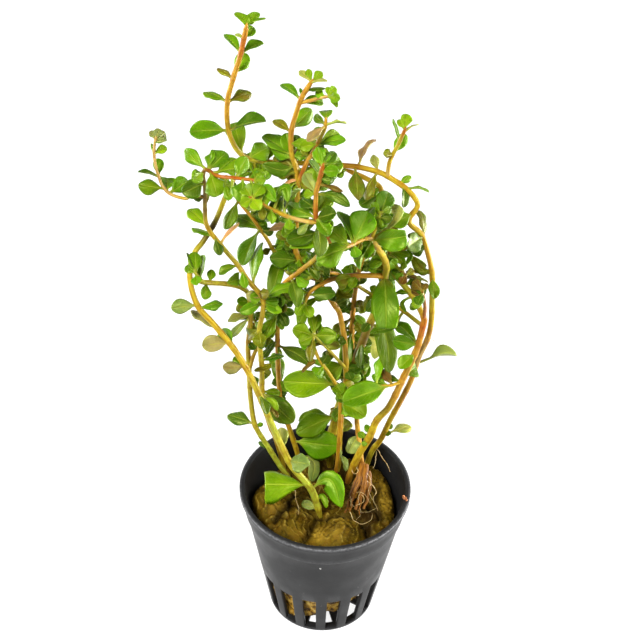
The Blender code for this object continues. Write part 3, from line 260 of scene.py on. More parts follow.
# Leaves by stem: column and row of the foot, of the tip, the width seen, and a tone: g green,
# y yellow-green, d dark, o olive, p pale, r reddish, b brown, w withered, s sage. Two more numbers
# are a column and a row that a bent leaf's middle passes through.
LEAVES = {
    "stem_right_arch": (
        (247, 22, 233.6, 11.5, 6, "y"), (247, 22, 260, 11.5, 9, "y"), (249, 23, 266, 18.6, 4, "g"),
        (246, 38, 256, 26, 10, "g"), (246, 38, 237, 33.7, 3, "p"), (240, 55, 223.4, 36, 8, "y"),
        (241, 55, 264, 44.6, 6, "g"), (237, 76.5, 249.6, 55, 13, "y"), (234, 78, 218.5, 66, 7, "o"),
        (226, 102, 202, 90, 9, "g"), (229, 104, 254, 94, 8, "o"), (226, 133, 187, 133.5, 14.5, "g"),
        (230, 130, 267, 119, 10, "d"), (242.5, 153.6, 233.6, 119, 15, "y"),
        (247, 158, 268, 147, 16, "y"), (358, 167, 375.2, 138, 5, "r"), (379.6, 171, 375.6, 152.5, 8, "p"),
        (354, 166, 357.3, 199.6, 15, "o"), (377, 173, 362, 199.6, 9, "o"), (407, 188, 430.8, 190, 3.5, "g"),
        (402, 187, 404, 208.6, 6, "d"), (427, 238, 425.3, 207.7, 5, "o"), (425, 234, 411, 245, 17, "s"),
        (413, 213, 391, 223, 14, "g"), (431, 278.8, 433.6, 299.7, 10, "g"),
        (419.3, 366, 458.6, 354.6, 11, "p"),
        (382.5, 437.2, 411.8, 427, 9, "p"), (366, 470.4, 361.5, 458.3, 4, "y"), (385, 430, 392, 425, 5, "g"),
        (384, 433, 391, 434, 5, "g"), (424, 271, 411, 256, 10, "o"), (400, 182, 412.9, 174.7, 7, "g")),
    "shoot_left_curl": (
        (154, 137.5, 164.4, 134, 10, "w"), (156.8, 142, 164, 141.5, 4, "g"),
        (154.6, 154, 167.7, 148, 7.5, "y"),
        (152, 156, 149, 143, 4.5, "g"), (158, 176, 158, 157.6, 9, "g"), (157, 178, 136, 173, 4.5, "d"),
        (163, 190, 137, 186, 12.5, "g"), (168, 191, 168.4, 177.7, 15, "y"),
        (168.4, 192, 188, 178.6, 14, "g"),
        (186, 198, 158, 207, 6, "d")),
    "stem_left_rising": (
        (206, 170.5, 182.7, 150, 16, "g"), (207.7, 169, 227, 150, 16, "g"), (208.6, 168, 214, 147, 8, "y"),
        (208, 174, 215, 198.7, 18, "g"), (212, 173, 249.6, 168, 11, "g"), (215.7, 174, 237, 155.4, 6, "g"),
        (204, 171.4, 192.5, 179.5, 12, "g"), (205, 183, 183.6, 193, 16, "d"), (236, 177, 247, 156, 13, "y"),
        (243.4, 179.5, 240.7, 202, 15, "y"), (258, 182, 264, 199, 12, "y"), (258, 181, 263, 169, 10, "g"),
        (258, 181, 269, 180, 9, "y"), (206, 209.5, 209, 189, 5, "o"), (205, 228, 185.4, 208.6, 11, "y"),
        (213, 239, 190.3, 228.7, 6, "g"), (213, 240, 218.8, 258, 7, "d"), (220.6, 243, 239, 220, 5, "r"),
        (253, 286, 258, 240, 13, "g"), (238, 267, 218.4, 274.6, 7, "g"), (258, 293, 268, 297, 7, "b"),
        (263, 303, 240, 312, 10, "g"), (264, 390.7, 294, 422, 22, "d"), (263, 299.6, 295, 285.4, 9, "g"),
        (262, 362, 285, 358, 7, "d")),
    "shoot_left_back": (
        (262, 230, 233.6, 213, 10, "g"), (262, 232, 288, 224, 4, "r"), (260.4, 230, 242.5, 266.6, 9, "g"),
        (237, 201, 223, 229, 9, "g"), (279, 268, 271, 297, 14, "g"), (235, 196, 247, 188, 8, "g"),
        (235, 196, 229, 182, 7, "g")),
    "stem_left_pale": (
        (194.3, 271, 193.4, 249, 12, "g"), (194, 271, 185.4, 249.6, 6, "d"), (201, 281, 202.8, 254, 10, "y"),
        (195, 274, 185.4, 265.7, 9, "g"), (196.5, 276, 196.5, 286, 9, "y"), (209.5, 282, 212, 268.4, 7, "g"),
        (225, 284, 240.7, 279, 11, "y"), (206, 284, 205, 301, 9, "g"), (254, 424, 226, 414, 12, "d"),
        (255, 426, 263, 424, 4, "g"), (270.8, 451, 258.7, 441, 4, "d"), (250, 320, 238, 314, 9, "y"),
        (249, 303, 235.4, 310.4, 9, "o"), (250, 318, 230, 339, 6, "p"), (250, 316, 227, 321, 8, "p")),
    "shoot_left_twin": (
        (255, 322, 260, 326, 6, "y"), (255, 322, 262, 312, 6, "g"), (255, 321, 250, 311, 6, "y")),
    "stem_left_front": (
        (199, 307, 222, 301, 9, "g"), (198, 306, 171.8, 308.8, 12, "s"), (222, 334, 193, 308, 10, "w"),
        (228, 343, 201, 346, 14, "w"), (245, 367, 222.3, 367.6, 11, "w"), (234, 349, 222, 330, 12, "g"),
        (244, 365.7, 232.5, 356, 9, "g"), (257, 390, 252, 374, 4, "d"), (283, 448, 279, 424, 12, "p"),
        (289, 458, 309, 461, 16, "s"), (308, 484, 265, 483, 27, "g"),
        (312.5, 490, 340.4, 508.7, 20, "y", 331, 480), (319, 507, 301.4, 500.4, 8, "s"),
        (322, 497, 326, 508, 6, "g"), (231, 186, 222, 176, 8, "y"), (235, 177, 230, 166, 7, "y"),
        (236, 177, 246, 170, 7, "y")),
    "stem_centre_left": (
        (277.5, 388, 272.6, 351, 12, "y"), (277.5, 344, 311, 361, 13, "d"), (277.5, 347, 281, 360, 4, "g"),
        (277, 338, 261, 356, 8, "d"), (278, 313, 264, 337, 10, "g"), (291, 279, 298, 307.7, 13, "d"),
        (325, 234, 287, 242.5, 14, "d"), (316, 216, 286.3, 202.3, 14, "y"), (323.6, 163, 317, 145, 12, "y"),
        (323.8, 163, 328, 149, 9, "y"), (321, 174, 340.8, 160, 15, "y"), (320, 175, 308.7, 159, 6, "s"),
        (316.5, 193, 305, 172, 12, "s"), (317, 213, 331.4, 192.5, 16, "y"), (318, 219, 331, 237, 12, "g"),
        (317, 222, 320.4, 256, 12, "d"), (293.8, 441.6, 338.9, 448, 26, "g"),
        (298, 455, 311, 480, 7, "s", 313, 460)),
    "shoot_front_left": (
        (308.6, 222, 297, 234, 6, "s"), (276.4, 212, 276.4, 196, 13, "d"), (283.6, 215, 299.6, 188, 3, "d"),
        (249, 197, 241, 184, 11, "g"), (249, 197, 259, 183, 11, "g"), (250, 198, 258, 209, 10, "y"),
        (249, 197, 237, 203, 9, "g")),
    "stem_centre_low": (
        (335, 384, 283, 381, 24, "g"), (314, 362, 301.7, 372.4, 4, "b"), (339, 401, 364.4, 417, 20, "g"),
        (324, 366, 316.4, 376.4, 12, "g")),
    "stem_centre_tall": (
        (345, 376, 318, 379, 5, "d"), (345, 362, 318, 378, 20, "g"), (297.5, 262, 267.5, 259.5, 15, "d"),
        (296.5, 223, 286.3, 235.4, 10, "g"), (313, 79, 300.7, 67.6, 6, "p"), (313, 79, 309.6, 65.8, 6, "y"),
        (313, 79, 324, 69, 8, "y"), (312, 81, 328, 80, 3, "p"), (301, 100, 281, 83, 6, "y"),
        (301, 96, 299, 87, 3, "g"), (306, 91, 325.6, 87.6, 5, "d"), (291.3, 132.7, 273, 118.6, 8, "o"),
        (292, 131, 312.7, 109.5, 15, "g"), (291.5, 149.6, 301, 137, 9, "d"),
        (293, 159.5, 299.8, 143.4, 5, "r"),
        (293, 160.4, 269.8, 149.6, 15, "g"), (291, 157, 284, 134, 15, "g"), (292, 157, 261.8, 137, 13, "g"),
        (297.5, 176.4, 278.8, 164.8, 12, "g"), (297, 184, 286, 200.5, 9, "g"),
        (297.5, 181, 270, 194, 9, "g"),
        (303, 105, 328, 104, 8, "y"), (340, 436, 348.7, 422, 13, "o"), (341, 443, 340.7, 476.8, 8, "p"),
        (340, 452, 347.4, 471, 6, "s"), (296, 230, 308, 214, 9, "g"), (335, 306, 350, 298, 9, "d")),
    "stem_thick_back": (
        (352.3, 332.3, 345, 369.8, 14, "g"), (352, 318.4, 333.4, 339.8, 8, "o"),
        (358, 434, 348, 453, 14, "s"),
        (352, 312, 345, 303, 7, "g"), (353, 311, 361, 304, 7, "g"), (361, 262, 352, 250, 9, "d"),
        (363, 258, 374, 250, 8, "g"), (357, 285, 366, 275, 9, "d")),
    "shoot_rosette": (
        (312, 333, 334.3, 332.7, 15, "g"), (312, 333, 290.5, 326.4, 14, "g"),
        (312, 334, 296.8, 341.6, 12, "g"),
        (313, 333, 318, 311.3, 8, "g"), (312, 333, 308, 309.5, 8, "g"), (312, 334, 308.4, 360.4, 8, "o"),
        (322, 343, 340.5, 346, 9, "o")),
    "shoot_centre_fork": (
        (326, 120, 326.5, 108, 12, "y"), (326, 124, 347, 122, 3, "p"), (325, 125, 313.6, 115.7, 8, "d"),
        (317.5, 143, 341.7, 133, 14, "y"), (318, 142, 320, 126, 10, "y"), (316, 146, 345.7, 140, 7, "y"),
        (325, 127, 306, 141, 8, "r")),
    "shoot_centre_top": (
        (326, 97, 316, 91.5, 8, "y"), (329.6, 97, 336, 87, 8, "y"), (330, 97, 341, 98.8, 10, "y"),
        (330, 97, 338.5, 107.5, 4, "g"), (330, 96, 329, 86, 6, "y")),
    "shoot_arch_side": (
        (405, 130, 406.5, 114, 10, "y"), (399, 142, 392.5, 118, 4, "g"), (404, 133, 419, 124, 3.5, "p"),
        (393, 156, 406.5, 134, 11, "y"), (392, 155, 383, 153, 8, "o"), (405, 129, 398, 119, 6, "y")),
    "stem_thick": (
        (373, 236, 407, 232.7, 20, "g"), (369, 238, 355, 266.6, 8, "g"), (385.4, 277, 387, 328.8, 25, "g"),
        (370, 324, 391.6, 370.7, 17, "d", 384, 332), (371, 322, 362, 333, 7, "d"),
        (365, 336, 374, 360, 9, "p", 376, 344),
        (363, 341, 359.5, 368, 9, "d"), (337, 415, 296.8, 432.7, 20, "g"), (336, 419, 298, 418, 8, "g"),
        (381, 295, 366, 312, 10, "d"), (342, 397, 352, 388, 8, "g")),
    "shoot_thick_near": (
        (347, 248, 315, 260.4, 21, "g"), (350, 246, 330, 229, 17, "g"), (349, 246, 326, 246, 9, "y"),
        (352.5, 244, 368.6, 211.3, 21, "g"), (354, 243, 372, 204, 14, "d"), (353, 243, 338.5, 209, 10, "g")),
    "shoot_thick_up": (
        (378, 219, 389, 189.8, 17, "d"), (380, 214, 371, 203, 9, "g"), (381, 213, 392, 208, 8, "g")),
    "stem_right_inner": (
        (389, 277, 394, 298, 6, "g"), (410, 293, 394.3, 292.6, 4, "g"), (416, 301, 410.7, 309.7, 7, "d"),
        (389.5, 251.4, 409.6, 255, 6, "g"), (389.5, 252, 406, 264.8, 5, "g"), (389, 250, 412.3, 246, 5, "o"),
        (418, 345.7, 394.3, 322.5, 9, "g"), (418, 345.7, 392.5, 341.3, 14, "g"),
        (404, 379, 417, 369, 15, "g"),
        (368, 438, 358, 430.5, 6, "g"), (370, 436, 366, 424, 6, "g"), (373, 431, 376, 421, 6, "g"),
        (368, 439, 362, 445, 5, "g"), (345, 169, 335, 175, 8, "y"), (345, 169, 334, 163, 9, "y"),
        (387, 228, 397, 218, 9, "p"), (381, 190, 371, 196, 8, "g"), (386, 222, 378, 236, 8, "y")),
    "shoot_right_low": (
        (390, 385.5, 342.8, 402, 22, "g"), (375, 386, 378, 354.6, 7, "y"), (388, 386, 372, 375, 7, "g"),
        (391, 385, 381, 369, 10, "b")),
    "shoot_right_dry": (
        (422, 291, 413, 280, 10, "b"), (422, 291, 427, 283, 6, "b"), (423, 296, 411, 290, 7, "b")),
    "shoot_right_twig": (
        (407, 276, 403, 285, 8, "b"), (406, 276, 414, 270, 7, "o"), (401, 271, 404, 262, 6, "g")),
    "shoot_right_cross": (
        (378, 297, 372, 308, 8, "d"), (345, 279, 338, 289, 8, "g"), (327, 272, 322, 262, 9, "g"),
        (326, 272.5, 319, 278, 8, "g")),
    "shoot_across": (
        (305, 304, 311, 318, 9, "g"), (305, 303, 296, 316, 9, "g"), (352, 280, 335, 286, 11, "o"),
        (311, 297, 338, 296, 12, "d"),
        (330, 280, 322, 268, 8, "d"), (356, 276, 349, 288, 9, "g")),
}

# Further small leaves between those above, in the same form
SMALL_LEAVES = {
    "shoot_left_curl": (
        (155, 139, 150, 131, 6, "w"), (156, 138, 160, 128, 7, "w"), (156, 141, 166, 139, 5, "w")),
    "shoot_left_back": (
        (262, 222, 252, 208, 8, "g"), (262, 231, 274, 232, 7, "d"), (272, 249, 262, 254, 6, "o")),
    "stem_centre_tall": (
        (292, 266, 276, 264, 5, "y"), (291, 255, 286, 232, 7, "d"), (309, 246, 300, 252, 6, "d"),
        (312, 258, 300, 265, 8, "d"), (305, 276, 302, 268, 6, "d"), (299, 275, 301, 288, 8, "b"),
        (305, 278, 306, 300, 5, "g"), (304, 308, 300, 330, 10, "g"), (341, 337, 333, 342, 5, "y"),
        (294, 168, 270, 158, 14, "o"), (295, 174, 272, 170, 13, "o"), (282, 170, 263, 165, 12, "d"),
        (293, 150, 300, 135, 8, "d"), (300, 186, 306, 174, 8, "g"), (297, 179, 284, 183, 4, "r")),
    "stem_centre_left": (
        (317, 213, 334, 194, 10, "y"),
        (303, 222, 286, 234, 9, "g"), (313, 238, 299, 228, 14, "d"), (316, 240, 290, 246, 12, "g"),
        (320, 160, 317, 146, 8, "y"), (325, 165, 338, 151, 10, "d"), (326, 172, 343, 172, 11, "g"),
        (322, 178, 334, 179, 7, "d"), (316, 210, 301, 199, 13, "d"), (318, 219, 338, 214, 14, "d"),
        (334, 196, 349, 206, 10, "d"), (333, 188, 342, 192, 5, "b"), (281, 311, 290, 328, 10, "d")),
    "shoot_centre_fork": (
        (308, 160, 300, 146, 4, "d"),),
    "shoot_front_left": (
        (286, 215, 296, 188, 2, "p", 283, 200),
        (285, 213, 274, 198, 12, "d"), (262, 203, 245, 204, 9, "p"), (266, 190, 274, 201, 10, "g"),
        (284, 188, 288, 200, 9, "g")),
    "shoot_right_cross": (
        (318, 290, 332, 288, 7, "d"), (350, 276, 361, 278, 11, "d"), (341, 291, 352, 297, 7, "o"),
        (330, 275, 321, 281, 8, "o"),
        (391, 327, 370, 331, 8, "d")),
    "stem_thick_back": (
        (352, 316, 342, 303, 8, "g"), (352, 316, 360, 303, 9, "g"), (357, 308, 371, 308, 12, "o"),
        (366, 303, 371, 299, 3, "g")),
    "stem_thick": (
        (371, 238, 364, 256, 12, "g"), (381, 262, 362, 266, 9, "d"), (378, 246, 370, 256, 7, "o"),
        (399, 213, 383, 206, 9, "p"), (384, 212, 386, 226, 6, "p")),
    "stem_right_inner": (
        (390, 258, 381, 249, 4, "b"), (390, 256, 397, 246, 4, "b"), (389, 252, 383, 243, 4, "b"),
        (390, 261, 399, 252, 4, "b"), (390, 264, 380, 257, 4, "b"),
        (380, 243, 397, 247, 8, "b"), (383, 246, 389, 256, 6, "b"), (409, 254, 406, 265, 5, "g"),
        (408, 253, 409.5, 244, 5, "g"), (378, 195, 356, 208, 16, "d"), (402, 303, 406, 312, 4, "g"),
        (415, 352, 399, 367, 12, "y"), (399, 383, 381, 378, 6, "d")),
    "stem_right_arch": (
        (409, 275, 429, 277, 3, "b"),),
    "stem_left_rising": (
        (243, 268, 247, 286, 6, "g"), (256, 315, 264, 314, 4, "d"), (265, 297, 249, 295, 10, "w"),
        (269, 366, 254, 371, 5, "o"), (264, 382, 268, 370, 7, "g"), (226, 185, 236, 184, 7, "d"),
        (230, 196, 226, 186, 7, "g"), (203, 197, 192, 200, 6, "d")),
    "stem_left_pale": (
        (249, 341, 256, 349, 7, "d"), (253, 300, 240, 300, 8, "g")),
    "stem_left_front": (
        (257, 396, 265, 417, 6, "d"), (272, 409, 278, 418, 5, "b"), (271, 400, 278, 410, 6, "g")),
}

# Stems that change colour along their way: a letter for each stretch, from the foot to the tip,
# y yellow-olive, l lime, g golden, o orange, r red-orange, b brown, u umber, k blackened, p pale
STEM_TONES = {
    "stem_left_front": "uyllyylyygggggykyg",
    "stem_left_pale": "llllyyyyggyyyyl",
    "stem_left_rising": "yggobgyyyggyguurr",
    "stem_centre_left": "yggooooooooogorror",
    "stem_centre_tall": "gggooggoooogooggooo",
    "stem_centre_low": "oooogg",
    "stem_thick": "uyyyuuuyyygg",
    "stem_thick_back": "rooogoooobbo",
    "stem_right_inner": "boggggooorylyygo",
    "stem_right_arch": "yyygggoooppogygogggggooggyygoooro",
    "shoot_left_twin": "gg",
    "shoot_left_curl": "bgpppp",
    "shoot_front_left": "gpgor",
    "shoot_centre_fork": "grooyo",
    "shoot_centre_top": "op",
    "shoot_arch_side": "pgyr",
    "shoot_across": "oobog",
    "shoot_right_cross": "yyggyyyoo",
    "shoot_right_dry": "rb",
    "shoot_right_low": "go",
    "shoot_right_twig": "ob",
    "shoot_rosette": "yyl",
    "shoot_left_back": "yyyggoor",
    "shoot_thick_near": "poop",
    "shoot_thick_up": "gl",
}
STEM_COLOURS = {
    "y": (0.265, 0.226, 0.013), "l": (0.232, 0.262, 0.020), "g": (0.305, 0.215, 0.011),
    "o": (0.325, 0.176, 0.014), "r": (0.270, 0.078, 0.005), "b": (0.170, 0.088, 0.010),
    "u": (0.130, 0.090, 0.010), "k": (0.019, 0.013, 0.005), "p": (0.380, 0.262, 0.075),
}

TONES = {
    "g": (0.080, 0.160, 0.0015), "y": (0.100, 0.195, 0.002), "d": (0.038, 0.078, 0.0018),
    "o": (0.108, 0.112, 0.003), "p": (0.240, 0.270, 0.055), "r": (0.340, 0.185, 0.075),
    "b": (0.105, 0.046, 0.006), "w": (0.165, 0.155, 0.050), "s": (0.120, 0.165, 0.035),
}
TONE_SLOTS = {"g": "leaf_green", "y": "leaf_yellow_green", "d": "leaf_dark", "o": "leaf_olive",
              "p": "leaf_pale", "r": "leaf_pale", "b": "leaf_olive", "w": "leaf_pale", "s": "leaf_pale"}

# Outlines of a blade: the stalk's share, the fullness of the foot half and of the tip half (less
# is fuller), and how much of the outline there is before it ends cut off
OUTLINES = {
    "plain": (0.06, 0.95, 0.56, 1.0),
    "torn": (0.08, 0.80, 0.50, 0.72),
    "blunt": (0.06, 0.75, 0.36, 0.93),
    "stalked": (0.34, 0.90, 0.60, 1.0),
    "pointed": (0.10, 0.90, 0.95, 1.0),
    "square": (0.05, 0.34, 0.22, 0.94),
}
# Stems that are thinner towards the tip than their solid, and by how much
THIN_TIPS = {"stem_left_rising": 0.35}

# Leaves with an outline of their own, by the column and row of their foot
OUTLINE_OF = {
    (308, 484): "torn", (225, 284): "torn", (385.4, 277): "square", (419.3, 366): "stalked",
    (354, 166): "pointed", (312.5, 490): "pointed", (382.5, 437.2): "stalked",
    (220.6, 243): "pointed", (262, 232): "pointed", (373, 236): "blunt",
}
# Leaves whose blade is wider or narrower than the rest, by the same
WIDER = {(363, 341): 1.1, (352.5, 244): 1.1, (305, 303): 1.1, (305, 304): 1.1, (222, 334): 0.8,
         (206, 170.5): 0.7, (385.4, 277): 0.9}
# Leaves of the solids that the picture does not have
ABSENT = ((186, 198),)
# How much wider than their solids the blades and the stems are drawn, with the blades left of a
# column a little wider than the rest
BLADE_WIDTH = 1.2
LEFT_SIDE = 262
LEFT_BLADE_WIDTH = 1.3
STEM_WIDTH = 1.12

# Blades: stations along one, points across it, depth of its midrib's groove, and what differs from
# leaf to leaf, each drawn between two values in this order
STATIONS = 19
CROSS_PIECES = 11
MIDRIB_GROOVE = 0.07
LEAF_VARIETY = {
    "cup": (-0.45, 0.25), "fold": (-0.05, 0.50), "wave": (0.03, 0.20), "phase": (0.0, 6.28),
    "twist": (-0.5, 0.5), "droop": (-0.55, 0.10), "bright": (0.76, 1.18), "warm": (0.82, 1.2),
}
# Leaves shorter than this droop less
DROOPING_LENGTH = 0.006
DRYNESS = {"b": 1.0, "o": 0.45, "r": 0.15, "p": 0.12, "w": 0.35}
FRESH_DRYNESS = 0.04

# Stems: distance between stations, height over which a foot widens out of the wool, sides,
# unevenness, and the joints' swelling and their distances
STATION_STEP = 0.0004
STEM_FLARE_HEIGHT = 0.004
STEM_SIDES = 12
STEM_UNEVENNESS = 0.28
JOINT_SWELL = 0.09
FIRST_JOINT = 0.006
JOINT_CLEARANCE = 0.005
JOINT_SPACING = (0.0085, 0.013)

# The dense part of the foliage, and the gaps in it, as columns, rows and radii in pixels
CORE = [(236, 160), (262, 140), (300, 130), (338, 150), (345, 180), (352, 200), (380, 195), (410, 212),
        (425, 235), (430, 262), (425, 300), (415, 335), (400, 372), (380, 400), (345, 420), (300, 432),
        (275, 425), (262, 395), (262, 350), (240, 330), (238, 300), (262, 285), (262, 262), (268, 240),
        (250, 225), (240, 205)]
GAPS = (
    (246, 238, 8), (264, 244, 3), (272, 233, 3), (274, 238, 3), (266, 262, 5), (268, 272, 6), (265, 284, 4),
    (284, 276, 4), (312, 231, 2.5), (309, 249, 3), (341, 262, 6), (347, 258, 4), (311, 283, 3),
    (331, 282, 3), (335, 289, 3), (325, 311, 9), (310, 304, 5), (333, 320, 6), (257, 311, 5),
    (256, 320, 4), (291, 318, 2.5), (244, 304, 3), (243, 325, 3), (361, 279, 2), (374, 281, 4),
    (363, 292, 5), (404, 204, 5), (412, 229, 3), (403, 246, 4), (403, 262, 5), (408, 270, 4),
    (427, 271, 3), (401, 285, 5), (399, 299, 6), (412, 294, 4), (413, 312, 5), (410, 324, 7),
    (397, 315, 4), (344, 316, 4), (355, 310, 2), (370, 317, 3), (283, 337, 7), (243, 337, 4),
    (253, 336, 2), (290, 357, 7), (284, 370, 6), (307, 370, 5), (312, 357, 3), (318, 353, 4),
    (336, 373, 3.5), (340, 382, 2), (296, 404, 8), (309, 406, 6), (318, 402, 4), (331, 400, 5),
    (327, 421, 4), (302, 424, 3), (256, 403, 4), (262, 415, 3), (268, 385, 3), (274, 388, 2),
    (352, 423, 3), (363, 424, 4), (266, 424, 4), (380, 407, 12), (396, 360, 6), (390, 336, 5),
)
# Leaves that fill the dense part: how much wider their blades are, their lengths, widths, turns and
# leans, the sizes tried for them, and their tones, one letter for each chance
FILL_SEED = 21
FILL_WIDTH = 1.25
FILL_LENGTHS = (9, 20)
FILL_WIDTHS = (6, 11)
FILL_TURNS = (0.0, math.pi, 1.2)
FILL_LEANS = (0.5, 1.2)
FILL_SIZES = (1.0, 0.8)
FILL_TONES = "dddggggooyydgo"
# They stand before none of this many of the largest leaves, nor before these stretches of stems,
# each between two rows
UNCOVERED_LEAVES = 150
UNCOVERED_STRETCHES = (
    ("stem_thick", 236, 280), ("stem_centre_left", 160, 292), ("shoot_front_left", 0, 640),
    ("stem_centre_tall", 0, 204), ("shoot_centre_fork", 0, 640), ("shoot_right_cross", 0, 640),
    ("shoot_across", 0, 640), ("stem_right_arch", 0, 640), ("shoot_thick_near", 0, 640),
    ("shoot_left_back", 0, 640), ("stem_left_rising", 0, 186), ("stem_centre_tall", 246, 262),
    ("shoot_right_low", 0, 640), ("shoot_rosette", 0, 640), ("stem_thick_back", 250, 345),
    ("stem_thick", 316, 352),
)


def eye_axes():
    """Right, up and backwards of the picture's eye, and where the eye is."""
    back = Vector((0, -math.cos(EYE_HEIGHT_ANGLE), math.sin(EYE_HEIGHT_ANGLE)))
    level = Vector((1, 0, 0))
    upright = back.cross(level)
    right = math.cos(EYE_ROLL) * level + math.sin(EYE_ROLL) * upright
    up = math.cos(EYE_ROLL) * upright - math.sin(EYE_ROLL) * level
    return right, up, back, EYE_TARGET + back * EYE_DISTANCE


RIGHT, UP, BACK, EYE = eye_axes()


def ray_at(column, row):
    """The way from the picture's eye to what it shows at a column and row."""
    return RIGHT * (column - PICTURE_MIDDLE) / LENS - UP * (row - PICTURE_MIDDLE) / LENS - BACK


def seen(column, row, behind):
    """The point that the picture shows at a column and row, at a distance behind the middle."""
    ray = ray_at(column, row)
    return EYE + ray * ((behind * MM - EYE.y) / ray.y)


def seen_level(column, row, height):
    """The point that the picture shows at a column and row, at a height."""
    ray = ray_at(column, row)
    return EYE + ray * ((height - EYE.z) / ray.z)


def shown(point):
    """Column and row of a point in the picture."""
    arm = point - EYE
    depth = -arm.dot(BACK)
    return Vector((PICTURE_MIDDLE + LENS * arm.dot(RIGHT) / depth,
                   PICTURE_MIDDLE - LENS * arm.dot(UP) / depth))


def smooth(points, steps=6):
    """A smooth line through points, with steps pieces between each two."""
    last = len(points) - 1
    tangents = [(points[min(i + 1, last)] - points[max(i - 1, 0)]).normalized() for i in range(last + 1)]
    line = []
    for i in range(last):
        start, end = points[i], points[i + 1]
        reach = (end - start).length / 3
        handles = start + tangents[i] * reach, end - tangents[i + 1] * reach
        line += interpolate_bezier(start, *handles, end, steps + 1)[:-1]
    return line + [points[-1]]


def thinned(line, slack):
    """The fewest of a line's points that keep it within slack of its course."""
    start, end = line[0], line[-1]
    along = (end - start).normalized()
    offsets = [((p - start) - along * (p - start).dot(along)).length for p in line]
    far = max(range(len(line)), key=offsets.__getitem__)
    if offsets[far] <= slack:
        return [start, end]
    return thinned(line[:far + 1], slack)[:-1] + thinned(line[far:], slack)


def nearest(line, column, row):
    """Index of the point of a line that the picture shows nearest to a column and row."""
    spot = Vector((column, row))
    return min(range(len(line)), key=lambda i: (shown(line[i]) - spot).length)


def lengths_of(line):
    """How far along a line each of its points is."""
    lengths = [0.0]
    for before, after in zip(line, line[1:]):
        lengths.append(lengths[-1] + (after - before).length)
    return lengths


def spaced(line, step):
    """Points at even spaces along a line."""
    lengths = lengths_of(line)
    count = max(2, round(lengths[-1] / step))
    points, index = [], 0
    for k in range(count + 1):
        goal = lengths[-1] * k / count
        while index < len(line) - 2 and lengths[index + 1] < goal:
            index += 1
        share = (goal - lengths[index]) / max(lengths[index + 1] - lengths[index], 1e-9)
        points.append(line[index].lerp(line[index + 1], share))
    return points


def bell(distance, width):
    """1 at no distance, falling smoothly to nothing past a width."""
    return math.exp(-(distance / width) ** 2)


def width_share(t):
    """Share of a solid leaf's greatest width at a share t of the way from its foot to its tip."""
    return 0.12 + 0.88 * math.sin(math.pi * min(1.0, t ** 1.35)) ** 0.8 if 0 < t < 1 else 0.0


def half_share(t, outline):
    """Share of a blade's greatest width at a share t of the way from its foot to its tip."""
    stalk, foot, tip, cut = OUTLINES[outline]
    s = min(1.0, max(0.0, (t * cut - stalk) / (1 - stalk)))
    return math.sin(math.pi * s ** 1.35) ** (foot + (tip - foot) * s) if 0 < s < 1 else 0.0


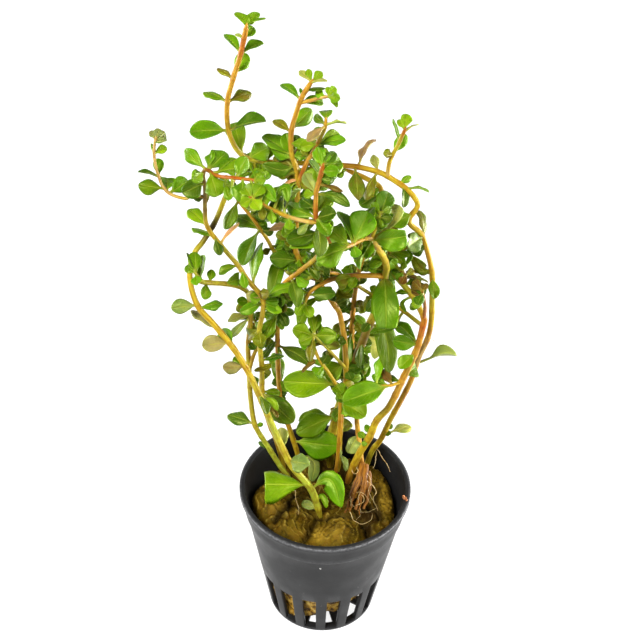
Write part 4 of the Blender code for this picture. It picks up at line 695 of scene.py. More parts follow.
class Leaf:
    """A leaf's place: its midline, its face and its width."""

    def __init__(self, stem, row):
        self.stem = stem
        column, line, tip_column, tip_line, width, self.tone = row[:6]
        self.spot = (column, line)
        self.jointed = True
        self.outline = OUTLINE_OF.get(self.spot, "plain")
        self.widening = BLADE_WIDTH if column > LEFT_SIDE else LEFT_BLADE_WIDTH
        self.widening *= WIDER.get(self.spot, 1.0)
        free = stem.line[stem.begin + 1:-1]
        self.foot = free[nearest(free, column, line)]
        self.sight = (EYE - self.foot).normalized()
        scale = (self.foot - EYE).dot(-BACK) / LENS
        self.start = self.foot.copy()
        gap = Vector((column, line)) - shown(self.foot)
        if gap.length > 5:
            self.start += (RIGHT * gap.x - UP * gap.y) * scale
        self.over = (RIGHT * (tip_column - column) - UP * (tip_line - line)) * scale
        self.seen_width = width * scale
        self.via = None
        if len(row) > 6:
            bend = Vector(row[6:8]) - Vector((column, line))
            self.via = self.start + (RIGHT * bend.x - UP * bend.y) * scale
        flat = self.over.length
        full = max(flat * LEAF_SLACK, self.seen_width / LEAF_ASPECT_MAX)
        lean = min(math.sqrt(full ** 2 - flat ** 2), LEAF_LEAN_LIMIT * flat)
        self.lean = lean if self.over.dot(UP) < 0.3 * flat else -lean
        self.settle(0.0, 1.0)

    def settle(self, shift, size):
        """Works out the leaf with its tip moved along the line of sight, and its size changed."""
        tip = self.start + (self.over + self.sight * (self.lean + shift)) * size
        points = [self.foot]
        if (self.start - self.foot).length > 0.001:
            points.append(self.start)
        if self.via:
            points.append(self.start.lerp(self.via, size))
        points.append(tip)
        along = (tip - self.start).normalized()
        length = (tip - self.start).length
        facing = (self.sight - along * self.sight.dot(along)).normalized()
        side = along.cross(facing)
        self.width = max(self.seen_width * size, LEAF_ASPECT_MIN * length)
        roll = math.acos(min(1.0, self.seen_width * size / self.width))
        turned = [facing * math.cos(roll) + side * (math.sin(roll) * sign) for sign in (1, -1)]
        self.face = max(turned, key=lambda way: way.z)
        if len(points) == 2:
            points.insert(1, self.foot.lerp(tip, 0.5) + self.face * (LEAF_ARCH * length))
        self.line = smooth(points)
        self.length = sum((b - a).length for a, b in zip(self.line, self.line[1:]))

    def at(self, t):
        """The midline's point at a share of its length, and its direction there."""
        place = max(0.0, min(1.0, t)) * (len(self.line) - 1)
        index = min(int(place), len(self.line) - 2)
        start, end = self.line[index], self.line[index + 1]
        return start.lerp(end, place - index), (end - start).normalized()

    def solid(self, sides, rings, begin=0.0, swell=0.0):
        """Corners and faces of the leaf's plain solid, to test it against others."""
        shape = bmesh.new()
        bmesh.ops.create_uvsphere(shape, u_segments=sides, v_segments=rings + 1, radius=1.0)
        for vert in shape.verts:
            level = math.acos(max(-1.0, min(1.0, -vert.co.z))) / math.pi
            t = begin + (1 - begin) * level ** 0.9
            middle, along = self.at(t)
            side = along.cross(self.face).normalized()
            face = side.cross(along)
            ring = math.hypot(vert.co.x, vert.co.y)
            wide, thick = (vert.co.x / ring, vert.co.y / ring) if ring > 0.01 else (0.0, 0.0)
            half = max(self.width / 2 * width_share(t), PETIOLE_RADIUS) + swell
            bulk = LEAF_THICKNESS / 2 * (1.3 - 0.6 * t) + swell
            vert.co = middle - side * (wide * half) + face * (thick * bulk)
            if ring <= 0.01:
                vert.co += along * (swell if level > 0.5 else 0.0)
        tree = BVHTree.FromBMesh(shape)
        shape.free()
        return tree


class Stem:
    """A stem's place: its line and its widths."""

    def __init__(self, name, parent, foot_width, tip_width, route):
        self.name = name
        self.parent = parent
        self.foot_width = foot_width * MM
        self.tip_width = tip_width * MM
        points = [seen(*spot) for spot in route]
        if parent:
            points[0] = parent.line[nearest(parent.line, *route[0][:2])].copy()
        else:
            downward = (points[0] - points[1]).normalized()
            points.insert(0, points[0] + (downward + Vector((0, 0, -1))).normalized() * STEM_SINK)
        self.line = smooth(points)
        self.begin = 0
        if parent:
            self.begin = self.clear_of_parent()

    def clear_of_parent(self):
        """Index of the first point whose end face is clear of the parent's side."""
        for index in range(1, len(self.line) - 2):
            along = (self.line[index + 1] - self.line[index]).normalized()
            away, course, radius = self.parent.around(self.line[index])
            if away > radius + GAP * 1.3 + self.foot_width / 2 * abs(along.dot(course)):
                return index
        return len(self.line) - 3

    def around(self, point):
        """Distance of a point from this stem's line, the line's direction there and its radius."""
        index = min(range(len(self.line)), key=lambda i: (self.line[i] - point).length)
        before, after = self.line[max(index - 1, 0)], self.line[min(index + 1, len(self.line) - 1)]
        course = (after - before).normalized()
        arm = point - self.line[index]
        return (arm - course * arm.dot(course)).length, course, self.radius_at(index)

    def radius_at(self, index):
        """Half the width at a point of the line."""
        share = index / (len(self.line) - 1)
        return (self.foot_width + (self.tip_width - self.foot_width) * share) / 2


def tube_tree(line, start_width, end_width):
    """A search tree of a closed tapering tube along a line."""
    lengths = lengths_of(line)
    corners, faces = [], []
    sides = 8
    for index, place in enumerate(line):
        along = (line[min(index + 1, len(line) - 1)] - line[max(index - 1, 0)]).normalized()
        side = (along.orthogonal() if index == 0 else side - along * side.dot(along)).normalized()
        other = along.cross(side)
        radius = (start_width + (end_width - start_width) * lengths[index] / lengths[-1]) / 2
        for k in range(sides):
            turn = 2 * math.pi * k / sides
            corners.append(place + (side * math.cos(turn) + other * math.sin(turn)) * radius)
    for index in range(len(line) - 1):
        for k in range(sides):
            a, b = index * sides + k, index * sides + (k + 1) % sides
            faces.append((a, b, b + sides, a + sides))
    faces += [tuple(range(sides)), tuple(range(len(corners) - sides, len(corners)))]
    return BVHTree.FromPolygons(corners, faces)


def sides_and_rings(large):
    """Sides and rings of a leaf's plain solid."""
    return (4, 3) if large else (3, 2)


def leaf_begin(leaf, large):
    """Where along its midline a solid leaf begins: inside its stem, or clear of it if it is large."""
    begin = 0.0
    while large and begin < 0.5:
        away, _, radius = leaf.stem.around(leaf.at(begin)[0])
        if away > radius + PETIOLE_RADIUS + GAP:
            break
        begin += 0.01
    return begin


def settle_leaf(leaf, large, placed, fixed, sizes=LEAF_SIZES):
    """Moves a leaf's tip along the line of sight, then shrinks it, until it is clear of the rest."""
    for size in sizes:
        for step in TIP_STEPS:
            leaf.settle(step * TIP_STEP, size)
            tree = leaf.solid(*sides_and_rings(large), leaf_begin(leaf, large), GAP)
            others = [other for name, other in fixed.items() if name != leaf.stem.name]
            others += [other for stem, other_large, other in placed
                       if large or other_large or stem != leaf.stem]
            if not any(tree.overlap(other) for other in others):
                return True
    return False


def sampled(leaf, shares):
    """Points on a leaf's two margins and its midline, at shares of its length."""
    for t in shares:
        middle, along = leaf.at(t)
        side = along.cross(leaf.face).normalized() * leaf.width * 0.5 * width_share(t)
        yield from (middle + side, middle - side, middle)


def hidden_from_eye(leaf, trees):
    """True if every sampled point of a leaf lies behind something in the picture."""
    for point in sampled(leaf, HIDDEN_SHARES):
        way = (EYE - point).normalized()
        if not any(tree.ray_cast(point + way * MM, way)[0] for tree in trees):
            return False
    return True


def hidden_rows(stem, turn):
    """Leaf rows at the far side of a stem, one every few of its points."""
    for index in range(HIDDEN_SPACING, len(stem.line) - 1, HIDDEN_SPACING):
        turn += HIDDEN_TURN
        column, line = shown(stem.line[index])
        if stem.line[index].z < HOLE_TOP:
            continue
        tip = (column + HIDDEN_LENGTH * math.cos(turn), line + HIDDEN_LENGTH * math.sin(turn))
        yield column, line, *tip, HIDDEN_WIDTH, "g"


def fixed_trees(stems):
    """Search trees, by name, of what leaves keep clear of: the pot, the wool and the stems."""
    trees = {}
    for name in ("net_pot", "wool_plug"):
        mesh = frame["nodes"][name].data
        corners = [vert.co for vert in mesh.vertices]
        trees[name] = BVHTree.FromPolygons(corners, [tuple(face.vertices) for face in mesh.polygons])
    for stem in stems.values():
        bends = thinned(stem.line[stem.begin:], STEM_SLACK)
        trees[stem.name] = tube_tree(bends, stem.foot_width, stem.tip_width)
    return trees


def by_size(stems, rows_of):
    """A table's leaves, the largest first."""
    leaves = [Leaf(stems[name], row) for name, rows in rows_of.items() for row in rows]
    return sorted(leaves, key=lambda leaf: -leaf.length * leaf.width)


def grow():
    """All stems and leaves, placed clear of each other as the solids are."""
    stems = {}
    for name, parent, foot_width, tip_width, route in STEMS:
        stems[name] = Stem(name, stems.get(parent), foot_width, tip_width, route)
    fixed = fixed_trees(stems)
    placed, leaves = [], []

    def keep_leaf(leaf, large=False):
        tree = leaf.solid(*sides_and_rings(large), leaf_begin(leaf, large))
        placed.append((leaf.stem, large, tree))
        leaves.append((leaf, large))

    for rank, leaf in enumerate(by_size(stems, LEAVES)):
        if settle_leaf(leaf, rank < LARGE_LEAVES, placed, fixed):
            keep_leaf(leaf, rank < LARGE_LEAVES)
    trees = [tree for _, _, tree in placed]
    count = 0
    for number, stem in enumerate(stems.values()):
        for row in hidden_rows(stem, number):
            if count == HIDDEN_LEAVES:
                break
            leaf = Leaf(stem, row)
            leaf.lean = HIDDEN_LEAN
            leaf.settle(0.0, 1.0)
            if settle_leaf(leaf, False, placed, fixed) and hidden_from_eye(leaf, trees):
                keep_leaf(leaf)
                count += 1
    for leaf in by_size(stems, SMALL_LEAVES):
        if settle_leaf(leaf, False, placed, fixed, FILL_SIZES):
            keep_leaf(leaf)
    uncovered = [tree for _, _, tree in placed[:UNCOVERED_LEAVES]] + bare_trees(stems)
    for leaf in fill_leaves(stems):
        if not settle_leaf(leaf, False, placed, fixed, FILL_SIZES):
            continue
        if clear_of_gaps(leaf) and not covers(leaf, uncovered):
            keep_leaf(leaf)
    return stems, leaves


def bare_trees(stems):
    """Search trees of the stem stretches that the picture shows before the foliage."""
    trees = []
    for name, top, bottom in UNCOVERED_STRETCHES:
        stem = stems[name]
        line = [point for point in stem.line if top <= shown(point).y <= bottom]
        width = (stem.foot_width + stem.tip_width) / 2
        trees.append(tube_tree(line, width, width))
    return trees


def covers(leaf, trees):
    """True if a leaf stands before one of the leaves and stems that the picture shows whole."""
    return any(tree.ray_cast(point, (point - EYE).normalized())[0]
               for point in sampled(leaf, FILL_SHARES) for tree in trees)


def inside(column, row, outline):
    """True if a spot of the picture lies inside an outline."""
    within = False
    for (c1, r1), (c2, r2) in zip(outline, outline[1:] + outline[:1]):
        if (r1 > row) != (r2 > row) and column < c1 + (c2 - c1) * (row - r1) / (r2 - r1):
            within = not within
    return within


def fill_leaves(stems):
    """Small leaves all along the stems, where the foliage is dense."""
    chance = random.Random(FILL_SEED)
    wanted = []
    for stem in stems.values():
        turn = chance.uniform(0, 2 * math.pi)
        for place in stem.line[1:-2]:
            column, row = shown(place)
            turn += math.pi / 2 + chance.uniform(-0.3, 0.3)
            if place.z < HOLE_TOP or not inside(column, row, CORE):
                continue
            for side in FILL_TURNS:
                length, width = chance.uniform(*FILL_LENGTHS), chance.uniform(*FILL_WIDTHS)
                tip = (column + length * math.cos(turn + side), row + length * math.sin(turn + side))
                leaf = Leaf(stem, (column, row, *tip, width, chance.choice(FILL_TONES)))
                leaf.lean *= chance.choice((1, -1)) * chance.uniform(*FILL_LEANS)
                leaf.widening = FILL_WIDTH
                leaf.jointed = False
                wanted.append(leaf)
    chance.shuffle(wanted)
    return wanted


def clear_of_gaps(leaf):
    """True if a leaf stays inside the dense foliage, and out of the gaps in it."""
    for point in sampled(leaf, FILL_SHARES):
        column, row = shown(point)
        if not inside(column, row, CORE):
            return False
        if any(math.hypot(column - c, row - r) < size for c, r, size in GAPS):
            return False
    return True


# Node trees


def add(tree, kind, *values, **settings):
    """A new node, with its settings and then its inputs in order: a value, a socket or a node."""
    node = tree.nodes.new(kind)
    for name, value in settings.items():
        setattr(node, name, value)
    sockets = [socket for socket in node.inputs if socket.enabled]
    for socket, value in zip(sockets, values):
        feed(tree, socket, value)
    return node


def feed(tree, socket, value):
    """Gives an input a value, a socket or a node's first output. A colour may leave out its alpha."""
    if value is None:
        return
    if isinstance(value, bpy.types.Node):
        value = next(output for output in value.outputs if output.enabled)
    if isinstance(value, bpy.types.NodeSocket):
        tree.links.new(value, socket)
    else:
        socket.default_value = (*value, 1.0)[:4] if socket.type == "RGBA" else value


def math_node(tree, operation, *values):
    """A Math node."""
    return add(tree, "ShaderNodeMath", *values, operation=operation)


def times(tree, first, second):
    """A product."""
    return math_node(tree, "MULTIPLY", first, second)


def times_plus(tree, first, second, third):
    """A product and then a sum."""
    return math_node(tree, "MULTIPLY_ADD", first, second, third)


def scaled(tree, vector, factor):
    """A vector times a number."""
    return add(tree, "ShaderNodeVectorMath", vector, factor, operation="SCALE")


def named(tree, name, data_type="FLOAT"):
    """A named attribute of the geometry."""
    return add(tree, "GeometryNodeInputNamedAttribute", name, data_type=data_type)


def stored(tree, geometry, name, value, data_type="FLOAT", domain="POINT"):
    """The geometry with a named attribute stored on it."""
    return add(tree, "GeometryNodeStoreNamedAttribute", geometry, None, name, value,
               data_type=data_type, domain=domain)


SOCKET_KINDS = {"geometry": "NodeSocketGeometry", "float": "NodeSocketFloat", "int": "NodeSocketInt",
                "material": "NodeSocketMaterial"}


def new_tree(name, inputs):
    """A geometry node tree with a geometry input, the named inputs and a geometry output."""
    tree = bpy.data.node_groups.new(name, "GeometryNodeTree")
    tree.interface.new_socket("Geometry", in_out="INPUT", socket_type=SOCKET_KINDS["geometry"])
    for label, kind in inputs:
        tree.interface.new_socket(label, in_out="INPUT", socket_type=SOCKET_KINDS[kind])
    tree.interface.new_socket("Geometry", in_out="OUTPUT", socket_type=SOCKET_KINDS["geometry"])
    return tree, add(tree, "NodeGroupInput").outputs


def finish_tree(tree, geometry, finish):
    """Ends a tree in Realize Instances and Set Material."""
    real = add(tree, "GeometryNodeRealizeInstances", geometry)
    coloured = add(tree, "GeometryNodeSetMaterial", real, None, finish)
    add(tree, "NodeGroupOutput", coloured)


def blade_tree():
    """Leaf blades along their midlines: cupped, waved and thin at the margin."""
    tree, given = new_tree("leaf_blades", (("Cross pieces", "int"), ("Midrib groove", "float"),
                                           ("Finish", "material")))
    face = named(tree, "face", "FLOAT_VECTOR")
    half, thick = named(tree, "half"), named(tree, "thick")
    along, cup, fold = named(tree, "along"), named(tree, "cup"), named(tree, "fold")
    wave, phase = named(tree, "wave"), named(tree, "phase")
    curve = add(tree, "GeometryNodeMeshToCurve", given["Geometry"])
    curve = add(tree, "GeometryNodeSetCurveNormal", curve, None, face, mode="FREE")
    profile = add(tree, "GeometryNodeCurvePrimitiveLine", (0.0, -1.0, 0.0), (0.0, 1.0, 0.0))
    profile = add(tree, "GeometryNodeResampleCurve", profile, None, given["Cross pieces"])
    place = add(tree, "ShaderNodeSeparateXYZ", add(tree, "GeometryNodeInputPosition"))
    profile = stored(tree, profile, "across", place.outputs["Y"])
    sheet = add(tree, "GeometryNodeCurveToMesh", curve, profile, half, False)
    across = named(tree, "across")
    square = times(tree, across, across)
    trough = times(tree, square, -40.0)
    trough = times(tree, math_node(tree, "EXPONENT", trough), given["Midrib groove"])
    angle = times_plus(tree, along, 13.0, phase)
    angle = times_plus(tree, across, 1.9, angle)
    ripple = times(tree, math_node(tree, "SINE", angle), wave)
    bend = times(tree, square, math_node(tree, "ADD", cup, ripple))
    crook = math_node(tree, "SQRT", math_node(tree, "ADD", square, 0.01))
    bend = times_plus(tree, crook, fold, bend)
    lift = times(tree, math_node(tree, "SUBTRACT", bend, trough), half)
    sheet = add(tree, "GeometryNodeSetPosition", sheet, None, None, scaled(tree, face, lift))
    round_off = math_node(tree, "MAXIMUM", math_node(tree, "SUBTRACT", 1.0, square), 0.0)
    round_off = math_node(tree, "SQRT", round_off)
    bulk = times(tree, round_off, thick)
    sides = []
    for sign, flag in ((1.0, 1.0), (-1.0, 0.0)):
        way = scaled(tree, face, times(tree, bulk, sign))
        side = add(tree, "GeometryNodeSetPosition", sheet, None, None, way)
        side = stored(tree, side, "upper", flag, domain="FACE")
        if sign < 0:
            side = add(tree, "GeometryNodeFlipFaces", side)
        sides.append(side)
    both = tree.nodes.new("GeometryNodeJoinGeometry")
    for side in reversed(sides):
        feed(tree, both.inputs[0], side)
    notch = times_plus(tree, along, 8.5, times(tree, phase, 3.0))
    notch = math_node(tree, "SINE", times_plus(tree, math_node(tree, "SIGN", across), 1.3, notch))
    slant = math_node(tree, "SINE", times_plus(tree, along, 3.0, phase))
    notch = times_plus(tree, notch, 0.06, times(tree, slant, 0.10))
    notch = times(tree, times(tree, square, notch), half)
    side = named(tree, "side", "FLOAT_VECTOR")
    both = add(tree, "GeometryNodeSetPosition", both, None, None, scaled(tree, side, notch))
    closed = add(tree, "GeometryNodeMergeByDistance", both, None, 0.0000005)
    spot = add(tree, "ShaderNodeCombineXYZ", times_plus(tree, across, 0.5, 0.5), along, 0.0)
    mapped = stored(tree, closed, "blade", spot, "FLOAT2", "CORNER")
    finish_tree(tree, add(tree, "GeometryNodeSetShadeSmooth", mapped), given["Finish"])
    return tree


def strand_tree():
    """Stems and roots: round strands along a path, a little uneven."""
    tree, given = new_tree("strands", (("Sides", "int"), ("Unevenness", "float"), ("Finish", "material")))
    curve = add(tree, "GeometryNodeMeshToCurve", given["Geometry"])
    ring = add(tree, "GeometryNodeCurvePrimitiveCircle", given["Sides"])
    ring.inputs["Radius"].default_value = 1.0
    place = add(tree, "ShaderNodeSeparateXYZ", add(tree, "GeometryNodeInputPosition"))
    ring = stored(tree, ring, "turn_x", place.outputs["X"])
    ring = stored(tree, ring, "turn_y", place.outputs["Y"])
    tube = add(tree, "GeometryNodeCurveToMesh", curve, ring, named(tree, "radius"), True)
    skin = add(tree, "ShaderNodeCombineXYZ", named(tree, "turn_x"), named(tree, "turn_y"), named(tree, "run"))
    tube = stored(tree, tube, "skin", skin, "FLOAT_VECTOR")
    stretched = add(tree, "ShaderNodeVectorMath", skin, (0.9, 0.9, 900.0), operation="MULTIPLY")
    bumps = add(tree, "ShaderNodeTexNoise", stretched, None, 1.0, 2.0)
    bumps.inputs["Scale"].default_value = 1.0
    swing = math_node(tree, "SUBTRACT", bumps, 0.5)
    amount = times(tree, times(tree, swing, named(tree, "radius")), given["Unevenness"])
    normal = add(tree, "GeometryNodeInputNormal")
    tube = add(tree, "GeometryNodeSetPosition", tube, None, None, scaled(tree, normal, amount))
    finish_tree(tree, add(tree, "GeometryNodeSetShadeSmooth", tube), given["Finish"])
    return tree


def fibre_tree():
    """Loose fibres that lie in small arches on a surface."""
    tree, given = new_tree("fibres", (("Density", "float"), ("Length", "float"), ("Radius", "float"),
                                      ("Seed", "int"), ("Finish", "material")))
    points = add(tree, "GeometryNodeDistributePointsOnFaces", given["Geometry"], None,
                 given["Density"], given["Seed"])
    arch = add(tree, "GeometryNodeCurveQuadraticBezier", 5,
               (-0.5, 0.0, -0.04), (0.1, 0.25, 0.22), (0.5, 0.0, -0.06))
    spin = add(tree, "FunctionNodeRandomValue", 0.0, 6.283, None, 3)
    turn = add(tree, "FunctionNodeRotateRotation", points.outputs["Rotation"],
               add(tree, "FunctionNodeAxisAngleToRotation", (0.0, 0.0, 1.0), spin), rotation_space="LOCAL")
    size = add(tree, "FunctionNodeRandomValue", 0.45, 1.3, None, 7)
    size = times(tree, size, given["Length"])
    arches = add(tree, "GeometryNodeInstanceOnPoints", points.outputs["Points"], None, arch,
                 None, None, turn, size)
    real = add(tree, "GeometryNodeRealizeInstances", arches)
    ring = add(tree, "GeometryNodeCurvePrimitiveCircle", 3)
    ring.inputs["Radius"].default_value = 1.0
    taper = add(tree, "GeometryNodeSplineParameter")
    thin = times_plus(tree, taper.outputs["Factor"], -0.7, 1.0)
    hair = add(tree, "GeometryNodeCurveToMesh", real, ring, times(tree, thin, given["Radius"]), True)
    finish_tree(tree, add(tree, "GeometryNodeSetShadeSmooth", hair), given["Finish"])
    return tree


# Finishes


class Finish:
    """A material under construction, around its Principled shader."""

    def __init__(self, name):
        self.material = bpy.data.materials.new(name)
        self.material.use_nodes = True
        self.tree = self.material.node_tree
        self.shader = self.tree.nodes["Principled BSDF"]

    def set(self, **values):
        """Sets the shader's inputs, with _ for a space in their names."""
        for name, value in values.items():
            feed(self.tree, self.shader.inputs[name.replace("_", " ")], value)

    def attribute(self, name, output="Fac"):
        """A named attribute, as a number, a Color or a Vector."""
        return add(self.tree, "ShaderNodeAttribute", attribute_name=name).outputs[output]

    def place(self):
        """Where a point of the piece is."""
        return add(self.tree, "ShaderNodeTexCoord").outputs["Object"]

    def stretched(self, vector, factors):
        """A vector with its parts multiplied."""
        return add(self.tree, "ShaderNodeVectorMath", vector, factors, operation="MULTIPLY")

    def noise(self, vector, scale, detail=3.0, roughness=0.55):
        """A noise pattern's strength."""
        node = add(self.tree, "ShaderNodeTexNoise", vector)
        node.inputs["Scale"].default_value = scale
        node.inputs["Detail"].default_value = detail
        node.inputs["Roughness"].default_value = roughness
        return node.outputs["Fac"]

    def span(self, value, low, high, to_low=0.0, to_high=1.0):
        """A number spread smoothly from one range to another."""
        return add(self.tree, "ShaderNodeMapRange", value, low, high, to_low, to_high,
                   interpolation_type="SMOOTHSTEP")

    def mix(self, factor, first, second, blend="MIX"):
        """Two colours mixed."""
        node = self.tree.nodes.new("ShaderNodeMix")
        node.data_type = "RGBA"
        node.blend_type = blend
        for socket, value in zip([s for s in node.inputs if s.enabled], (factor, first, second)):
            feed(self.tree, socket, value)
        return next(output for output in node.outputs if output.enabled)

    def tinted(self, colour, factors):
        """A colour with its channels multiplied."""
        return self.mix(1.0, colour, factors, "MULTIPLY")

    def math(self, operation, *values):
        """A Math node."""
        return math_node(self.tree, operation, *values)

    def times(self, first, second):
        """A product."""
        return times(self.tree, first, second)

    def times_plus(self, first, second, third):
        """A product and then a sum."""
        return times_plus(self.tree, first, second, third)

    def bump(self, height, strength, distance, normal=None):
        """A bump from a height pattern."""
        node = self.tree.nodes.new("ShaderNodeBump")
        node.inputs["Strength"].default_value = strength
        node.inputs["Distance"].default_value = distance
        feed(self.tree, node.inputs["Height"], height)
        feed(self.tree, node.inputs["Normal"], normal)
        return node


def leaf_finish(thin_glow):
    """Leaf tissue: tint, midrib, side veins, pale underside, mottling and a soft gloss."""
    made = Finish("leaf_tissue")
    tint = made.attribute("tint", "Color")
    upper = made.attribute("upper")
    blade = made.attribute("blade", "Vector")
    spot = add(made.tree, "ShaderNodeSeparateXYZ", blade)
    across = made.math("ABSOLUTE", made.times_plus(spot.outputs["X"], 2.0, -1.0))
    along = spot.outputs["Y"]
    place = made.place()
    mottle = made.noise(place, 420.0, 4.0)
    cells = made.noise(place, 3200.0, 2.0)
    broad = made.noise(place, 150.0, 2.0)
    rib = made.span(made.math("DIVIDE", across, made.span(along, 0.0, 1.0, 1.5, 0.5)), 0.11, 0.03)
    bent = made.times_plus(made.math("POWER", across, 0.8), -0.42, along)
    bent = made.times_plus(made.math("SUBTRACT", mottle, 0.5), 0.06, bent)
    comb = made.math("ABSOLUTE", made.math("SINE", made.times(bent, 23.0)))
    veins = made.times(made.span(comb, 0.16, 0.0), made.span(across, 0.95, 0.75))
    dark = made.tinted(tint, (0.60, 0.72, 0.55))
    light = made.tinted(tint, (1.50, 1.28, 1.0))
    base = made.mix(made.span(broad, 0.35, 0.68), dark, tint)
    base = made.mix(made.span(mottle, 0.55, 0.75, 0.0, 0.45), base, light)
    foot = made.span(along, 0.30, 0.04, 0.0, 0.7)
    base = made.mix(foot, base, (0.26, 0.21, 0.025))
    flush = made.times(made.span(across, 0.55, 0.0), made.span(along, 1.0, 0.2, 0.0, 0.6))
    base = made.mix(flush, base, light)
    margin = made.span(across, 0.86, 1.0, 0.0, 0.35)
    base = made.mix(margin, base, light)
    rib_colour = made.mix(0.4, light, (0.29, 0.34, 0.04))
    base = made.mix(made.times(veins, 0.28), base, rib_colour)
    base = made.mix(made.times(rib, 0.75), base, rib_colour)
    under = made.mix(0.45, base, (0.19, 0.24, 0.035))
    spoiled = made.times(made.attribute("dry"), made.span(mottle, 0.52, 0.60))
    base = made.mix(upper, under, base)
    base = made.mix(spoiled, base, (0.08, 0.037, 0.007))
    relief = made.times_plus(rib, -0.8, made.times(veins, -0.35))
    relief = made.times_plus(cells, 0.25, relief)
    made.set(Base_Color=base, Roughness=made.span(mottle, 0.3, 0.7, 0.24, 0.38),
             Normal=made.bump(relief, 0.9, 0.00025), Subsurface_Weight=thin_glow,
             Subsurface_Radius=(0.6, 1.0, 0.05), Subsurface_Scale=0.0006, Specular_IOR_Level=0.26,
             Specular_Tint=(0.9, 1.0, 0.25))
    return made.material


def stem_finish():
    """Stem skin: the tint of each stretch, fine streaks along it and darker rings at its joints."""
    made = Finish("stem_skin")
    tint = made.attribute("tint", "Color")
    skin = made.attribute("skin", "Vector")
    ring = made.attribute("ring")
    place = made.place()
    lengthways = made.stretched(skin, (2.6, 2.6, 260.0))
    streaks = made.noise(lengthways, 1.0, 3.0)
    patches = made.noise(place, 330.0, 3.0)
    grain = made.noise(place, 2500.0, 2.0)
    dark = made.tinted(tint, (0.66, 0.52, 0.45))
    light = made.tinted(tint, (1.25, 1.35, 1.4))
    base = made.mix(made.span(streaks, 0.36, 0.60), dark, tint)
    base = made.mix(made.span(patches, 0.52, 0.74, 0.0, 0.8), base, light)
    joint = made.tinted(tint, (0.58, 0.30, 0.24))
    base = made.mix(made.times(ring, 0.45), base, joint)
    relief = made.times_plus(streaks, 0.8, made.times(grain, 0.3))
    made.set(Base_Color=base, Roughness=made.span(patches, 0.3, 0.7, 0.30, 0.46),
             Normal=made.bump(relief, 0.35, 0.0002), Subsurface_Weight=0.12,
             Subsurface_Radius=(1.0, 0.6, 0.1), Subsurface_Scale=0.0006, Specular_IOR_Level=0.17,
             Specular_Tint=(1.0, 0.9, 0.4))
    return made.material


def pot_finish(colour, roughness):
    """Moulded black plastic, with a pale line on the lip's edges that is partly wear and partly painted
    highlight, dust and fine scratches.
    """
    made = Finish("pot_plastic")
    place = made.place()
    height = add(made.tree, "ShaderNodeSeparateXYZ", place).outputs["Z"]
    clouds = made.noise(place, 120.0, 4.0)
    grain = made.noise(place, 2600.0, 3.0)
    specks = made.noise(place, 1400.0, 3.0, 0.5)
    # Partly wear and partly painted highlight: pale grey along the lip's outer edge, broken by specks, and
    # fainter at the collar's foot
    lip_wear_and_highlight = made.times(made.attribute("edge"), made.span(specks, 0.36, 0.60, 0.35, 1.0))
    base = made.mix(made.span(clouds, 0.3, 0.7, 0.0, 0.35), colour, tuple(c * 1.5 for c in colour))
    base = made.mix(made.times(lip_wear_and_highlight, 0.60), base, (0.19, 0.19, 0.195))
    lower = made.span(height, 0.0405, 0.0412, 0.0, 0.05)
    rough = made.span(clouds, 0.3, 0.7, roughness - 0.05, roughness + 0.08)
    rough = made.math("ADD", rough, lower)
    made.set(Base_Color=base, Roughness=rough, Normal=made.bump(grain, 0.18, 0.0001), Specular_IOR_Level=0.18,
             Sheen_Weight=0.22, Sheen_Roughness=0.12)
    return made.material


def wool_finish(colour):
    """Wet mineral wool: matted fibres, golden patches on the lumps, painted highlights on the rims of its
    torn layers and painted shade in its creases and hollows.
    """
    made = Finish("wet_wool")
    place = made.place()
    crease = made.attribute("crease")
    orange = made.attribute("side")
    swirl = made.noise(place, 160.0, 3.0)
    pulled = made.stretched(place, (1.0, 2.6, 1.6))
    twisted = add(made.tree, "ShaderNodeTexNoise", pulled)
    for name, value in (("Scale", 900.0), ("Detail", 5.0), ("Roughness", 0.62), ("Distortion", 1.6)):
        twisted.inputs[name].default_value = value
    mat = twisted.outputs["Fac"]
    fine = made.noise(place, 4200.0, 3.0)
    dark = made.tinted(colour, (0.36, 0.30, 0.28))
    light = made.tinted(colour, (2.0, 2.1, 1.0))
    base = made.mix(made.span(swirl, 0.32, 0.62), dark, colour)
    stain = made.noise(place, 310.0, 2.0)
    base = made.mix(made.span(stain, 0.46, 0.62, 0.0, 0.75), base, (0.066, 0.030, 0.0015))
    base = made.mix(made.span(mat, 0.48, 0.72, 0.0, 0.6), base, light)
    # Painted highlight: pale gold along the rims of the torn layers
    base = made.mix(made.span(made.attribute("edge"), 0.2, 1.0, 0.0, 0.6), base, (0.26, 0.185, 0.03))
    # The shade attribute: golden patches above nothing, painted shade, nearly black, below nothing
    shade = made.attribute("shade")
    grainy = made.span(mat, 0.25, 0.65, 0.55, 1.0)
    base = made.mix(made.times(made.span(shade, 0.0, 1.0), grainy), base, (0.24, 0.145, 0.012))
    base = made.mix(made.times(made.span(shade, 0.0, -1.0), 0.92), base, (0.013, 0.005, 0.001))
    clump = made.noise(place, 520.0, 4.0, 0.6)
    torn = made.mix(made.span(clump, 0.40, 0.50), (0.035, 0.014, 0.002), (0.24, 0.125, 0.012))
    torn = made.mix(made.span(clump, 0.50, 0.62), torn, (0.42, 0.285, 0.065))
    base = made.mix(orange, base, torn)
    # Painted shade: nearly black in the creases, the hollows, at the foot of each torn layer and a little on
    # the underside
    base = made.mix(made.math("POWER", crease, 0.7), base, (0.010, 0.005, 0.001))
    relief = made.times_plus(mat, 1.0, made.times(fine, 0.4))
    made.set(Base_Color=base, Roughness=made.span(swirl, 0.3, 0.7, 0.38, 0.62),
             Normal=made.bump(relief, 0.45, 0.0004), Specular_IOR_Level=0.16, Specular_Tint=(1.0, 0.8, 0.2))
    return made.material


